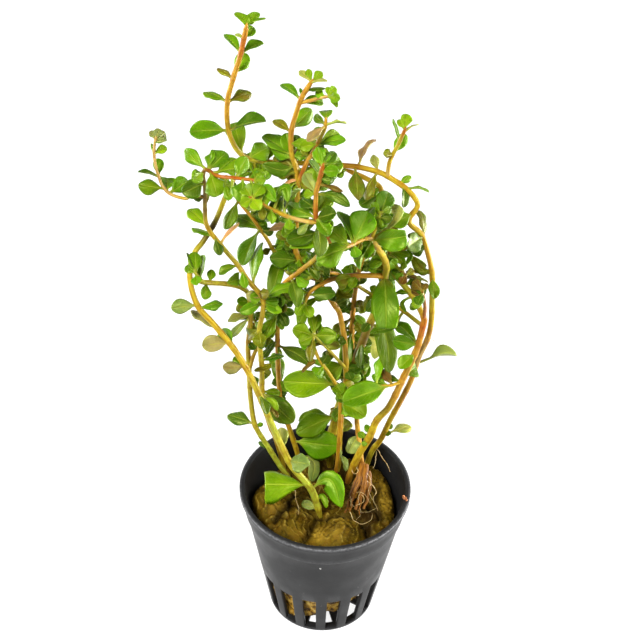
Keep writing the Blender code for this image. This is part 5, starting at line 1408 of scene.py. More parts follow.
def plain_finish(name, dark, light, scale, roughness, glow=0.0, with_painted_shade=False, streaked=False, shine=0.3):
    """A small piece's finish: two colours in patches, with a fine grain."""
    made = Finish(name)
    place = made.place()
    patches = made.noise(place, scale, 3.0)
    if streaked:
        skin = made.attribute("skin", "Vector")
        lengthways = made.stretched(skin, (3.2, 3.2, 160.0))
        patches = made.noise(lengthways, 1.0, 4.0)
    grain = made.noise(place, 3000.0, 2.0)
    base = made.mix(made.span(patches, 0.35, 0.65), dark, light)
    if with_painted_shade:
        # Painted shade: darker where the wool's shade attribute is below nothing
        depth = made.span(made.attribute("shade"), 0.0, -0.8, 0.0, 0.9)
        base = made.mix(depth, base, (0.020, 0.009, 0.002))
    made.set(Base_Color=base, Roughness=roughness, Normal=made.bump(grain, 0.4, 0.0001),
             Subsurface_Weight=glow, Subsurface_Radius=(1.0, 0.6, 0.2), Subsurface_Scale=0.0005,
             Specular_IOR_Level=shine)
    return made.material


# Making pieces


def add_piece(name, mesh):
    """A new object in the scene."""
    thing = bpy.data.objects.new(name, mesh)
    bpy.context.scene.collection.objects.link(thing)
    return thing


def applied(thing):
    """Turns an object's modifiers into its mesh."""
    graph = bpy.context.evaluated_depsgraph_get()
    mesh = bpy.data.meshes.new_from_object(thing.evaluated_get(graph))
    thing.modifiers.clear()
    thing.data = mesh
    return thing


def run_tree(thing, tree, **inputs):
    """Runs a geometry node tree on an object and keeps the result as its mesh."""
    modifier = thing.modifiers.new(tree.name, "NODES")
    modifier.node_group = tree
    for item in tree.interface.items_tree:
        key = item.name.replace(" ", "_")
        if item.in_out == "INPUT" and key in inputs:
            modifier[item.identifier] = inputs[key]
    return applied(thing)


def keep(thing, slot, *nodes):
    """Rides a finished piece on the plant's body, in place of its solids."""
    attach(thing, BODY)
    if nodes:
        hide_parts(*nodes)
    return thing


# An attribute's type, and the key of its items, for each type of value
ATTRIBUTE_KINDS = {
    float: ("FLOAT", "value"), Vector: ("FLOAT_VECTOR", "vector"), tuple: ("FLOAT_COLOR", "color"),
}


def path_mesh(name, paths):
    """A mesh of open paths, whose points are dictionaries: a place and the attributes' values."""
    points = [point for path in paths for point in path]
    edges, count = [], 0
    for path in paths:
        edges += [(count + i, count + i + 1) for i in range(len(path) - 1)]
        count += len(path)
    mesh = bpy.data.meshes.new(name)
    mesh.from_pydata([point["place"] for point in points], edges, [])
    for label in points[0]:
        if label != "place":
            kind, key = ATTRIBUTE_KINDS[type(points[0][label])]
            layer = mesh.attributes.new(label, kind, "POINT")
            for item, point in zip(layer.data, points):
                setattr(item, key, point[label])
    return mesh


def leaf_spine(leaf, thickness):
    """Stations along a leaf's midline, with what its blade needs there."""
    chance = random.Random(f"{leaf.stem.name} {leaf.start.x:.5f} {leaf.start.z:.5f}")
    drawn = {name: chance.uniform(*limits) for name, limits in LEAF_VARIETY.items()}
    droop = drawn["droop"] * min(1.0, leaf.length / DROOPING_LENGTH)
    red, green, blue = TONES[leaf.tone]
    bright = drawn["bright"]
    steady = {name: drawn[name] for name in ("cup", "fold", "wave", "phase")}
    steady["tint"] = (red * bright * drawn["warm"], green * bright, blue * bright, 1.0)
    steady["dry"] = DRYNESS.get(leaf.tone, FRESH_DRYNESS)
    cut_off = OUTLINES[leaf.outline][3] < 1.0
    spine = []
    for k in range(STATIONS):
        even = k / (STATIONS - 1)
        t = 0.45 * even + 0.55 * (0.5 - 0.5 * math.cos(math.pi * even))
        place, along = leaf.at(t)
        side = along.cross(leaf.face).normalized()
        face = side.cross(along)
        turn = drawn["twist"] * t
        face = (face * math.cos(turn) + side * math.sin(turn)).normalized()
        place = place + face * (droop * leaf.length * max(0.0, t - 0.5) ** 2)
        half = leaf.width * leaf.widening / 2 * half_share(t, leaf.outline)
        stalk = PETIOLE_RADIUS * (1.15 - 0.6 * t)
        share = min(1.0, half / (4 * stalk))
        spine.append({
            "place": place, "face": face, "side": side, "along": t,
            "half": max(half, stalk) if cut_off or even < 1 else 0.0,
            "thick": stalk * (1 - share) + thickness / 2 * share if 0 < even < 1 else 0.0,
            **steady,
        })
    return spine


def stem_path(stem, joints):
    """Stations along a stem, with its width, its colour and its joints."""
    line = spaced(stem.line, STATION_STEP)
    lengths = lengths_of(line)
    tones = [Vector(STEM_COLOURS[letter]) for letter in STEM_TONES[stem.name]]
    path = []
    for place, run in zip(line, lengths):
        share = run / lengths[-1]
        at = share * (len(tones) - 1)
        index = min(int(at), len(tones) - 2)
        blend = at - index
        colour = tones[index].lerp(tones[index + 1], blend * blend * (3 - 2 * blend))
        radius = (stem.foot_width + (stem.tip_width - stem.foot_width) * share) / 2
        radius *= 1 - THIN_TIPS.get(stem.name, 0.0) * share ** 3
        away = min([abs(run - joint) for joint in joints], default=1.0)
        swell = 1 + JOINT_SWELL * bell(away, radius * 1.3)
        end = min(1.0, math.sqrt(max(0.03, (lengths[-1] - run) / (radius * 4))))
        if not stem.parent:
            end *= 0.6 + 0.4 * min(1.0, max(0.0, place.z - WOOL_TOP) / STEM_FLARE_HEIGHT)
        path.append({"place": place, "radius": radius * STEM_WIDTH * swell * end, "run": run,
                     "ring": bell(away, radius * 0.7), "tint": (*colour, 1.0)})
    return path


def joints_of(stem, stems, leaves):
    """How far along a stem its joints are: where leaves and shoots grow, and at bare joints."""
    lengths = lengths_of(stem.line)
    feet = [leaf.foot for leaf, _ in leaves if leaf.stem is stem and leaf.jointed]
    feet += [other.line[0] for other in stems.values() if other.parent is stem]
    found = []
    for foot in feet:
        found.append(lengths[min(range(len(stem.line)), key=lambda i: (stem.line[i] - foot).length)])
    chance = random.Random(stem.name)
    run = FIRST_JOINT
    while run < lengths[-1]:
        if all(abs(run - joint) > JOINT_CLEARANCE for joint in found):
            found.append(run)
        run += chance.uniform(*JOINT_SPACING)
    return sorted(found)


def leaf_nodes(leaves):
    """The solids that a stem's leaves stand for, by stem."""
    numbers, names = {}, {}
    for leaf, large in leaves:
        if large:
            short = leaf.stem.name.split("_", 1)[1]
            numbers[short] = numbers.get(short, 0) + 1
            names.setdefault(leaf.stem.name, []).append(f"leaf_{short}_{numbers[short]}")
    return names


def make_plant():
    """Every stem, and the leaves of each stem, as pieces."""
    sizes = bpy.context.scene.rotala_plant
    stems, leaves = grow()
    blades, strands = blade_tree(), strand_tree()
    tissue, skin = leaf_finish(sizes.leaf_glow), stem_finish()
    large = leaf_nodes(leaves)
    solids = {name for name in frame["nodes"] if name.startswith("leaf_")}
    missing = solids ^ {name for names in large.values() for name in names}
    if missing:
        raise RuntimeError(f"leaves that differ from the solids: {sorted(missing)}")
    for stem in stems.values():
        path = stem_path(stem, joints_of(stem, stems, leaves))
        tube = add_piece("skin_of_" + stem.name, path_mesh(stem.name, [path]))
        run_tree(tube, strands, Sides=STEM_SIDES, Unevenness=STEM_UNEVENNESS, Finish=skin)
        keep(tube, "stem_skin", stem.name)
        own = [leaf for leaf, _ in leaves if leaf.stem is stem and leaf.spot not in ABSENT]
        if not own:
            continue
        spines = [leaf_spine(leaf, sizes.leaf_thickness) for leaf in own]
        foliage = add_piece("leaves_of_" + stem.name, path_mesh("leaves", spines))
        run_tree(foliage, blades, Cross_pieces=CROSS_PIECES, Midrib_groove=MIDRIB_GROOVE, Finish=tissue)
        tones = [leaf.tone for leaf in own]
        slot = TONE_SLOTS[max(sorted(set(tones)), key=tones.count)]
        keep(foliage, slot, stem.name, *large.get(stem.name, ()))


def wall_radius(height):
    """Radius of the pot's inner wall."""
    inner_base = BASE_RADIUS - WALL
    share = (height - FLOOR) / (POT_HEIGHT - FLOOR)
    return inner_base + (RIM_RADIUS - LIP_WIDTH - inner_base) * share


def outer_radius(height):
    """Radius of the pot's outer wall, below the collar."""
    foot = COLLAR_FOOT_RADIUS - COLLAR_STEP
    return BASE_RADIUS + (foot - BASE_RADIUS) * height / (COLLAR_FOOT_HEIGHT - COLLAR_STEP)


def collar_radius(height):
    """Radius of the collar's outside, a little hollow."""
    share = (height - COLLAR_FOOT_HEIGHT) / (POT_HEIGHT - RIM_DEPTH - COLLAR_FOOT_HEIGHT)
    return COLLAR_FOOT_RADIUS + (RIM_RADIUS - COLLAR_FOOT_RADIUS) * share - COLLAR_HOLLOW


def pot_rows():
    """The pot's section, from the middle of its floor up the inside, over the lip and down again."""
    heights = [FLOOR + (SLOT_TOP - FLOOR) * k / 5 for k in range(6)]
    heights += [0.0225, 0.0270, 0.0315, 0.0360, COLLAR_FOOT_HEIGHT - COLLAR_STEP]
    floor = [FLOOR_HOLE_INNER + (FLOOR_HOLE_OUTER - FLOOR_HOLE_INNER) * k / 4 for k in range(5)]
    rows = [(radius, FLOOR) for radius in (FLOOR_MIDDLE, *floor)]
    rows += [(wall_radius(z), z) for z in (*heights, 0.043, 0.046, 0.0482, POT_HEIGHT)]
    rows += [(RIM_RADIUS - LIP_WIDTH / 2, POT_HEIGHT + LIP_CROWN)]
    rows += [(RIM_RADIUS, POT_HEIGHT), (RIM_RADIUS, POT_HEIGHT - RIM_DEPTH)]
    rows += [(collar_radius(z), z) for z in (0.0472, 0.0455, 0.0432)]
    rows += [(COLLAR_FOOT_RADIUS, COLLAR_FOOT_HEIGHT)]
    rows += [(outer_radius(z), z) for z in reversed(heights)] + [(BASE_RADIUS, 0.0)]
    rows += [(radius, 0.0) for radius in (*reversed(floor), FLOOR_MIDDLE)]
    first_wall = 1 + len(floor)
    slot_inside = range(first_wall, first_wall + 6)
    last = len(rows) - 1
    slot_outside = [last - 1 - len(floor) - 1 - k for k in range(6)]
    floor_top = range(1, 1 + len(floor))
    floor_under = [last - 1 - k for k in range(len(floor))]
    return rows, list(zip(slot_inside, slot_outside)), list(zip(floor_top, floor_under))


def make_pot():
    """The net pot: a turned cup whose slots and floor openings are left open in its wall."""
    sizes = bpy.context.scene.rotala_pot
    rows, slot_pairs, floor_pairs = pot_rows()
    period = 360 / FLOOR_HOLES
    half_slot = SLOT_DEGREES / 2
    half_hole = period / 2 - math.degrees(math.asin(FLOOR_SPOKE / 2 / FLOOR_HOLE_OUTER))
    marks = {*WALL_CORNERS, half_hole, period - half_hole}
    for centre in (period / 4, 3 * period / 4):
        marks |= {centre - half_slot, centre + half_slot}
    angles = [period * turn + mark for turn in range(FLOOR_HOLES) for mark in sorted(marks)]
    count = len(angles)

    def middle(j, share):
        return (angles[j] + (angles[(j + 1) % count] - angles[j]) % 360 / 2) % share

    def in_slot(j):
        return abs(middle(j, period / 2) - period / 4) < half_slot

    def in_hole(j):
        return not half_hole <= middle(j, period) <= period - half_hole

    shape = bmesh.new()
    grid = []
    ways = [(math.cos(math.radians(angle - 90)), math.sin(math.radians(angle - 90))) for angle in angles]
    for radius, height in rows:
        grid.append([shape.verts.new((radius * x, radius * y, height)) for x, y in ways])
    slot_rows = {row: k for k, pair in enumerate(slot_pairs) for row in pair}
    floor_rows = {row: k for k, pair in enumerate(floor_pairs) for row in pair}
    for i in range(len(rows) - 1):
        slotted = i in slot_rows and i + 1 in slot_rows and abs(slot_rows[i] - slot_rows[i + 1]) == 1
        holed = i in floor_rows and i + 1 in floor_rows and abs(floor_rows[i] - floor_rows[i + 1]) == 1
        for j in range(count):
            if slotted and in_slot(j) or holed and in_hole(j):
                continue
            k = (j + 1) % count
            shape.faces.new((grid[i][j], grid[i][k], grid[i + 1][k], grid[i + 1][j]))
    shape.faces.new(grid[0])
    shape.faces.new(grid[-1])
    for pairs, inside in ((slot_pairs, in_slot), (floor_pairs, in_hole)):
        for j in range(count):
            k = (j + 1) % count
            if inside(j):
                for a, b in (pairs[0], pairs[-1]):
                    shape.faces.new((grid[a][j], grid[a][k], grid[b][k], grid[b][j]))
            if inside(j) != inside(j - 1):
                for (a, b), (c, d) in zip(pairs, pairs[1:]):
                    shape.faces.new((grid[a][j], grid[c][j], grid[d][j], grid[b][j]))
    bmesh.ops.recalc_face_normals(shape, faces=shape.faces)
    mesh = bpy.data.meshes.new("net_pot")
    shape.to_mesh(mesh)
    shape.free()
    pot = add_piece("moulded_pot", mesh)
    soften = pot.modifiers.new("soften", "BEVEL")
    soften.width = EDGE_ROUNDING
    soften.segments = 2
    soften.limit_method = "ANGLE"
    soften.angle_limit = EDGE_ROUNDED_ABOVE
    applied(pot)
    pot.data.shade_smooth()
    # The edge mask: the lip's outer edge, where wear and a painted highlight go, and a fainter pale line at
    # the collar's foot
    edge = pot.data.attributes.new("edge", "FLOAT", "POINT")
    for vert, item in zip(pot.data.vertices, edge.data):
        radius = math.hypot(vert.co.x, vert.co.y)
        lip = bell(radius - RIM_RADIUS, 0.0002) * bell(vert.co.z - POT_HEIGHT + 0.0001, 0.0002)
        seam = bell(radius - COLLAR_FOOT_RADIUS, 0.0001) * bell(vert.co.z - COLLAR_FOOT_HEIGHT, 0.0002)
        item.value = min(1.0, lip + 0.35 * seam)
    pot.data.materials.clear()
    pot.data.materials.append(pot_finish(sizes.colour, sizes.roughness))
    keep(pot, "pot_plastic", "net_pot")


# Creases in the wool's top by column and row of the picture, each with a depth in millimetres
CREASES = (
    (1.6, ((275, 523), (281, 514), (288, 508), (290, 497), (296, 490))),
    (1.3, ((317, 514), (313, 524), (308, 534), (303, 541))),
    (1.5, ((317, 514), (325, 517), (332, 514), (345, 513), (354, 518))),
    (2.2, ((354, 518), (362, 523), (367, 531), (369, 541))),
    (2.0, ((360, 500), (368, 507), (377, 513), (381, 520))),
    (1.2, ((377, 513), (376, 500), (380, 490))),
    (1.0, ((296, 490), (306, 493), (318, 497))),
    (0.9, ((270, 500), (280, 497), (290, 497))),
)


# Lighter, golden patches and darker patches of the wool's top: column, row, radius in pixels and how light;
# the darker ones are painted shade in the hollows and under the stems
WOOL_SHADES = (
    (336, 530, 13, 0.45), (318, 536, 7, 0.9), (345, 520, 6, 0.3), (296, 527, 13, 0.10), (311, 524, 3, 0.6),
    (266, 500, 14, 0.15), (276, 506, 8, 0.30), (386, 504, 8, 0.80), (374, 480, 8, 0.95), (383, 489, 5, 0.8),
    (310, 515, 6, -0.5), (308, 524, 4, -0.5), (362, 515, 9, -0.95), (356, 500, 9, -0.9),
    (368, 531, 8, -0.9), (373, 518, 6, -0.9), (330, 470, 14, -0.9), (345, 480, 10, -0.8),
    (300, 490, 10, -0.45), (284, 514, 5, -0.5), (376, 512, 6, -0.5), (275, 486, 8, -0.2),
    (318, 500, 9, -0.3), (340, 500, 8, -0.25),
)


def wool_shade(point):
    """How light the wool is at a point, from -1 to 1: above nothing it is golden, below nothing it is painted
    shade.
    """
    spot = shown(point)
    shade = sum(light * bell(math.hypot(spot.x - column, spot.y - row), radius)
                for column, row, radius, light in WOOL_SHADES)
    return max(-1.0, min(1.0, shade))


def wool_top(x, y):
    """Height of the wool's lumpy top."""
    height = WOOL_TOP
    for lump_x, lump_y, spread, rise in WOOL_LUMPS:
        height += rise * MM * bell(math.hypot(x / MM - lump_x, y / MM - lump_y), spread)
    return height


def crease_lines():
    """The creases as lines of x and y on the wool."""
    lines = []
    for depth, spots in CREASES:
        points = [seen_level(column, row, WOOL_SEEN_HEIGHT) for column, row in spots]
        lines.append((depth, [Vector((p.x, p.y)) for p in smooth(points, 4)]))
    return lines


def crease_at(lines, x, y):
    """How deep a crease is at a spot, in millimetres."""
    spot = Vector((x, y))
    deepest = 0.0
    for depth, line in lines:
        for a, b in zip(line, line[1:]):
            along = b - a
            share = max(0.0, min(1.0, (spot - a).dot(along) / max(along.length_squared, 1e-12)))
            away = (spot - a - along * share).length
            if away < 5 * CREASE_WIDTH:
                deepest = max(deepest, depth * bell(away, CREASE_WIDTH))
    return deepest


def rough(x, y, z, size, seed):
    """Uneven lumps of a size, from -1 to 1."""
    return noise.fractal(Vector((x, y, z)) / size + Vector((seed, 0, 0)), 0.9, 2.1, 4)


def wool_surface(lines, x, y):
    """Height of the wool's top with its creases and torn layers, and how much painted shade and painted
    highlight it has there.
    """
    cut = crease_at(lines, x, y)
    swell = abs(noise.noise(Vector((x, y, 0.3)) / 0.0048)) ** 0.7
    layer = 2.6 * noise.noise(Vector((x * 1.3, y, 0.7)) / 0.0062)
    layer += 0.3 * noise.noise(Vector((x, y, 0.2)) / 0.0019)
    step = layer - math.floor(layer)
    torn = math.floor(layer) + min(1.0, step / 0.22) ** 2
    height = wool_top(x, y) - cut * MM + (swell - 0.35) * 0.0012 + (torn - layer) * WOOL_LAYER
    height += rough(x, y, 0, 0.0022, 5) * 0.00045
    # Painted shade: darker in the creases, in the low spots between the swells and at the foot of each torn
    # layer's step
    dark = cut / 1.6 + max(0.0, 0.13 - swell) * 2 + 0.75 * max(0.0, 1 - step / 0.16) ** 2
    dark = min(1.0, dark)
    # Painted highlight: the rim just above each step is lighter where it is not shaded
    return height, dark, bell(step - 0.30, 0.07) * (1 - dark)


def wool_point(lines, kind, share, turn):
    """Distance from the middle, height, painted shade of the creases, side, and the painted highlight of a
    torn layer's margin at a point of the wool.
    """
    x, y = math.cos(turn), math.sin(turn)
    if kind == "top":
        away = (wall_radius(WOOL_TOP) - WOOL_WALL_GAP * (2 + math.sin(5 * turn + 1))) * share
        height, dark, light = wool_surface(lines, x * away, y * away)
        height -= WOOL_SHOULDER * 1.4 * max(0.0, (share - 0.9) / 0.1) ** 2
        return away, height, dark, 0.0, light
    if kind == "under":
        away = (wall_radius(WOOL_UNDER + 0.0022) - 0.0011) * share
        height = WOOL_UNDER + WOOL_UNDER_SLOPE * x * away + WOOL_SHOULDER / 2 * math.sin(3 * turn)
        height = max(height, FLOOR + WOOL_FLOOR_CLEARANCE)
        # The underside takes a little painted shade
        return away, height + rough(x * away, y * away, 0.1, 0.003, 9) * 0.0012, 0.15, 1.0, 0.0
    high_away, high, *_ = wool_point(lines, "top", 1.0, turn)
    low_away, low, *_ = wool_point(lines, "under", 1.0, turn)
    height = high + (low - high) * share
    away = min(wall_radius(height) - 0.0005, high_away + (low_away - high_away) * share + 0.0004)
    away += rough(x * away, y * away, height, 0.0022, 3) * 0.0007 - 0.0006
    return away, height, 0.0, min(1.0, share * 3), 0.0


def make_wool():
    """The plug of wet wool: lumps with creases between them, a rough side and underside, and fibres."""
    sizes = bpy.context.scene.rotala_wool
    lines = crease_lines()
    top, side, under = WOOL_RINGS["top"], WOOL_RINGS["side"], WOOL_RINGS["under"]
    rows = [("top", i / top) for i in range(1, top + 1)]
    rows += [("side", i / side) for i in range(1, side)]
    rows += [("under", i / under) for i in range(under, 0, -1)]
    shape = bmesh.new()
    layers = [shape.verts.layers.float.new(name) for name in ("crease", "side", "edge", "shade")]
    grid = []
    for kind, share in rows:
        ring = []
        for k in range(WOOL_AROUND):
            turn = 2 * math.pi * k / WOOL_AROUND
            away, height, *values = wool_point(lines, kind, share, turn)
            vert = shape.verts.new((math.cos(turn) * away, math.sin(turn) * away, height))
            values.append(wool_shade(vert.co) if kind == "top" else 0.0)
            for layer, value in zip(layers, values):
                vert[layer] = value
            ring.append(vert)
        grid.append(ring)
    for upper, lower in zip(grid, grid[1:]):
        for k in range(WOOL_AROUND):
            following = (k + 1) % WOOL_AROUND
            shape.faces.new((upper[k], lower[k], lower[following], upper[following]))
    for ring, up in ((grid[0], True), (grid[-1], False)):
        middle = shape.verts.new((0, 0, sum(v.co.z for v in ring) / WOOL_AROUND))
        for k in range(WOOL_AROUND):
            pair = (ring[k], ring[(k + 1) % WOOL_AROUND])
            shape.faces.new((middle, *(pair if up else reversed(pair))))
    mesh = bpy.data.meshes.new("wool")
    shape.to_mesh(mesh)
    shape.free()
    mesh.shade_smooth()
    mesh.materials.append(wool_finish(sizes.colour))
    wool = add_piece("matted_wool", mesh)
    hair = add_piece("wool_fibres", mesh.copy())
    fine = plain_finish("wool_fibre", (0.045, 0.024, 0.002), (0.17, 0.110, 0.012), 500.0, 0.45, with_painted_shade=True)
    run_tree(hair, fibre_tree(), Density=sizes.fibre_density, Length=FIBRE_LENGTH, Radius=FIBRE_RADIUS,
             Seed=FIBRE_SEED, Finish=fine)
    keep(wool, "wet_wool", "wool_plug")
    keep(hair, "wet_wool", "wool_plug")


# Roots: thickness in millimetres, then a column, a row and millimetres behind the middle. Those
# thicker than the crown's least width are the strands of the root crown. The seed keeps their
# bends the same each time.
CROWN_WIDTH = 0.5
ROOT_SEED = 1
ROOTS = (
    (0.22, ((376.8, 448.7, 14), (380, 453, 10), (383, 458, 7), (387, 465, 4), (390, 471.7, 3))),
    (0.20, ((376.4, 452, 14), (375.8, 457, 11), (375.5, 461.5, 8), (374, 466, 6), (372, 468.5, 5))),
    (0.20, ((367, 481, -1), (370, 484, -2), (375, 488, -2), (376.5, 493, -3), (373, 498, -4),
            (378, 510.6, -6))),
    (0.22, ((361, 495, -3), (364, 498, -4), (363, 502, -5), (356, 505, -6))),
    (0.18, ((350.6, 496, -3), (350.6, 501, -4.5), (350.6, 506, -6))),
    (0.20, ((350, 512, -8), (354, 520, -10), (363, 524, -10), (371, 520, -9), (373, 514, -7))),
    (0.16, ((429, 338, 3), (433, 341, 3), (437, 345, 2.5))),
    (0.18, ((352, 470, -1), (354.5, 474, -2), (358, 472, -2), (357, 467, -1))),
    (0.16, ((295, 488, -5), (296, 500, -7), (299, 508, -9), (298, 515, -10))),
    (0.14, ((353, 494, -3), (360, 492, -3), (367, 497, -4), (371, 503, -5))),
    (0.13, ((349, 500, -4), (357, 509, -6), (368, 512, -7), (376, 508, -6))),
    (0.13, ((362, 488, -1), (358, 499, -4), (361, 512, -7), (356, 520, -9))),
    (0.15, ((366, 472, 3), (371, 480, 1), (369, 492, -2), (373, 500, -4))),
    (2.4, ((363, 463, 7), (360, 478, 2), (355, 492, -1), (349, 510, -6))),
    (2.1, ((366, 466, 6), (364, 480, 1), (361, 494, -2), (356, 509, -6))),
    (1.7, ((368, 472, 4), (369, 484, 1), (367, 497, -2), (364, 509, -5))),
    (1.2, ((360, 470, 4), (355, 484, 1), (350, 498, -3), (345, 513, -7))),
    (0.9, ((362, 476, 1), (357, 488, -2), (352, 500, -4), (350, 513, -8))),
    (0.7, ((366, 474, 1), (366, 488, -2), (361, 500, -4), (359, 514, -8))),
)


def make_roots():
    """Thin pale roots and the reddish root crown at the foot of the right stems."""
    noise.seed_set(ROOT_SEED)
    fine, crown = [], []
    for width, spots in ROOTS:
        line = spaced(smooth([seen(*spot) for spot in spots]), STATION_STEP)
        lengths = lengths_of(line)
        path = []
        for place, run in zip(line, lengths):
            thin = 0.55 + 0.45 * math.sin(math.pi * min(1.0, run / lengths[-1] + 0.25))
            jitter = noise.noise_vector(place / 0.002) * (0.0003 if width < CROWN_WIDTH else 0.0005)
            path.append({"place": place + jitter, "radius": width * MM / 2 * thin, "run": run})
        (crown if width > CROWN_WIDTH else fine).append(path)
    strands = bpy.data.node_groups["strands"]
    pale = plain_finish("fine_root", (0.26, 0.16, 0.05), (0.45, 0.35, 0.16), 700.0, 0.4, 0.1)
    russet = plain_finish("root_crown", (0.055, 0.017, 0.002), (0.210, 0.085, 0.008), 420.0, 0.5, 0.05,
                          streaked=True, shine=0.12)
    for name, paths, finish, sides in (("fine_roots", fine, pale, 5), ("root_crown", crown, russet, 9)):
        thing = add_piece(name, path_mesh(name, paths))
        run_tree(thing, strands, Sides=sides, Unevenness=0.3, Finish=finish)
        keep(thing, "stem_skin")


def crumb_piece(name, pieces, finish):
    """Small rough lumps, each a place and three half widths, as one piece."""
    shape = bmesh.new()
    for seed, (place, size) in enumerate(pieces):
        made = bmesh.ops.create_icosphere(shape, subdivisions=3, radius=1.0)
        for vert in made["verts"]:
            lump = 1 + 0.45 * noise.noise(vert.co * 1.6 + Vector((seed, 0, 0)))
            vert.co = Vector(place) + Vector([c * half for c, half in zip(vert.co, size)]) * lump
    mesh = bpy.data.meshes.new(name)
    shape.to_mesh(mesh)
    shape.free()
    mesh.shade_smooth()
    mesh.materials.append(finish)
    keep(add_piece(name, mesh), "wet_wool")


def on_wall(column, row):
    """The point of the pot's outer wall that the picture shows at a column and row."""
    ray = ray_at(column, row).normalized()
    near, far = WALL_DISTANCES
    for k in range(WALL_STEPS):
        point = EYE + ray * (near + (far - near) * k / WALL_STEPS)
        if point.z < COLLAR_FOOT_HEIGHT and math.hypot(point.x, point.y) <= outer_radius(point.z):
            return point
    raise RuntimeError(f"no wall at {column}, {row}")


# The rim's crumb: its column and row, and x, y and half widths of its lumps in millimetres. Dust on
# the wall: column, row and half width in millimetres. Distances from the eye to look for the wall at
CRUMB_SPOT = (405.2, 498.8)
CRUMBS = ((0, 0, 0.7, 0.5), (-0.5, 0.5, 0.4, 0.6), (0.4, -0.6, 0.35, 0.5))
CRUMB_HEIGHT = 0.00045
DUST = (
    (320.5, 568.5, 0.34), (304, 593, 0.12), (300, 585, 0.10), (358, 587, 0.13), (367, 578, 0.10),
    (340, 559, 0.10), (321, 606, 0.10), (290, 571, 0.07),
)
WALL_DISTANCES = (0.25, 0.45)
WALL_STEPS = 2000


def make_crumbs():
    """A dry crumb on the rim and dust on the pot's wall."""
    rim = seen_level(*CRUMB_SPOT, POT_HEIGHT)
    crumbs = [((rim.x + dx * MM, rim.y + dy * MM, POT_HEIGHT + 0.0002), (sx * MM, sy * MM, CRUMB_HEIGHT))
              for dx, dy, sx, sy in CRUMBS]
    dust = []
    for column, row, size in DUST:
        place = on_wall(column, row)
        flat = 1 - 0.6 * abs(place.x / math.hypot(place.x, place.y))
        dust.append((place, (size * MM * flat, size * MM * 0.5, size * MM)))
    crumb_piece("dry_crumb", crumbs,
                plain_finish("dry_crumb", (0.07, 0.022, 0.006), (0.34, 0.12, 0.035), 1500.0, 0.7))
    crumb_piece("dust_specks", dust,
                plain_finish("pale_dust", (0.20, 0.20, 0.19), (0.45, 0.45, 0.42), 2000.0, 0.8))


FLOOR_SIZE = 30.0
# Lamps: name, place, width, the size that gives its power, and its share of that
LAMPS = (
    ("key", (-0.45, -0.65, 1.0), 0.4, "key_light", 1.0),
    ("fill", (0.75, -0.5, 0.6), 0.6, "key_light", 0.30),
    ("left_edge", (-0.40, 0.12, 0.04), 0.3, "edge_light", 0.5),
    ("right_edge", (0.40, 0.10, 0.02), 0.3, "edge_light", 1.3),
)


def make_stage():
    """Pale floor, soft lights and the camera at the picture's eye."""
    sizes = bpy.context.scene.rotala_stage
    scene = bpy.context.scene
    shape = bmesh.new()
    bmesh.ops.create_grid(shape, x_segments=1, y_segments=1, size=FLOOR_SIZE)
    mesh = bpy.data.meshes.new("floor")
    shape.to_mesh(mesh)
    shape.free()
    floor = add_piece("floor", mesh)
    made = Finish("pale_floor")
    made.set(Base_Color=(0.20, 0.20, 0.20), Roughness=0.9, Specular_IOR_Level=0.0,
             Emission_Color=(1.0, 1.0, 1.0), Emission_Strength=sizes.floor_glow)
    floor.data.materials.append(made.material)
    world = bpy.data.worlds.new("soft_room")
    world.use_nodes = True
    sky = world.node_tree
    way = add(sky, "ShaderNodeSeparateXYZ", add(sky, "ShaderNodeTexCoord").outputs["Generated"])
    far = add(sky, "ShaderNodeMapRange", way.outputs["Y"], -0.9, 0.3, sizes.front_light, 1.0,
              interpolation_type="SMOOTHSTEP")
    right = add(sky, "ShaderNodeMapRange", way.outputs["X"], -1.0, 1.0, 0.7, 1.5)
    far = times(sky, far, right)
    feed(sky, sky.nodes["Background"].inputs["Strength"], times(sky, far, sizes.room_light))
    sky.nodes["Background"].inputs["Color"].default_value = (1.0, 1.0, 1.0, 1.0)
    scene.world = world
    for name, place, size, power, share in LAMPS:
        light = bpy.data.lights.new(name, "AREA")
        light.size = size
        light.energy = getattr(sizes, power) * share
        lamp = add_piece(name, light)
        turn = (Vector(place) - EYE_TARGET).to_track_quat("Z", "Y")
        lamp.matrix_world = Matrix.Translation(place) @ turn.to_matrix().to_4x4()
    view = bpy.data.cameras.new("front_view")
    view.sensor_width = 36.0
    view.lens = LENS / (2 * PICTURE_MIDDLE) * view.sensor_width
    view.clip_start = 0.01
    camera = add_piece("front_view", view)
    axes = Matrix((RIGHT, UP, BACK)).transposed()
    camera.matrix_world = Matrix.Translation(EYE) @ axes.to_4x4()
    scene.camera = camera
    scene.view_settings.view_transform = "Standard"


# The add-on


class RotalaPotSizes(bpy.types.PropertyGroup):
    """The net pot's finish."""
    colour: FloatVectorProperty(name="Plastic colour", description="Colour of the moulded plastic",
                                subtype="COLOR", default=(0.0075, 0.0075, 0.0077), min=0.0, max=1.0)
    roughness: FloatProperty(name="Plastic roughness", description="How dull the plastic is",
                             subtype="FACTOR", default=0.42, min=0.0, max=1.0)


class RotalaWoolSizes(bpy.types.PropertyGroup):
    """The wool's finish and its loose fibres."""
    colour: FloatVectorProperty(name="Wool colour", description="Colour of the wet wool", subtype="COLOR",
                                default=(0.062, 0.038, 0.002), min=0.0, max=1.0)
    fibre_density: FloatProperty(name="Fibre density", description="Loose fibres on each square metre",
                                 default=9000.0, min=0.0)


class RotalaPlantSizes(bpy.types.PropertyGroup):
    """The stems' and the leaves' make."""
    leaf_thickness: FloatProperty(name="Leaf thickness", description="Thickness of a blade",
                                  subtype="DISTANCE", unit="LENGTH", default=0.00026, min=0.0001)
    leaf_glow: FloatProperty(name="Leaf glow", description="How much light passes through a blade",
                             subtype="FACTOR", default=0.12, min=0.0, max=1.0)


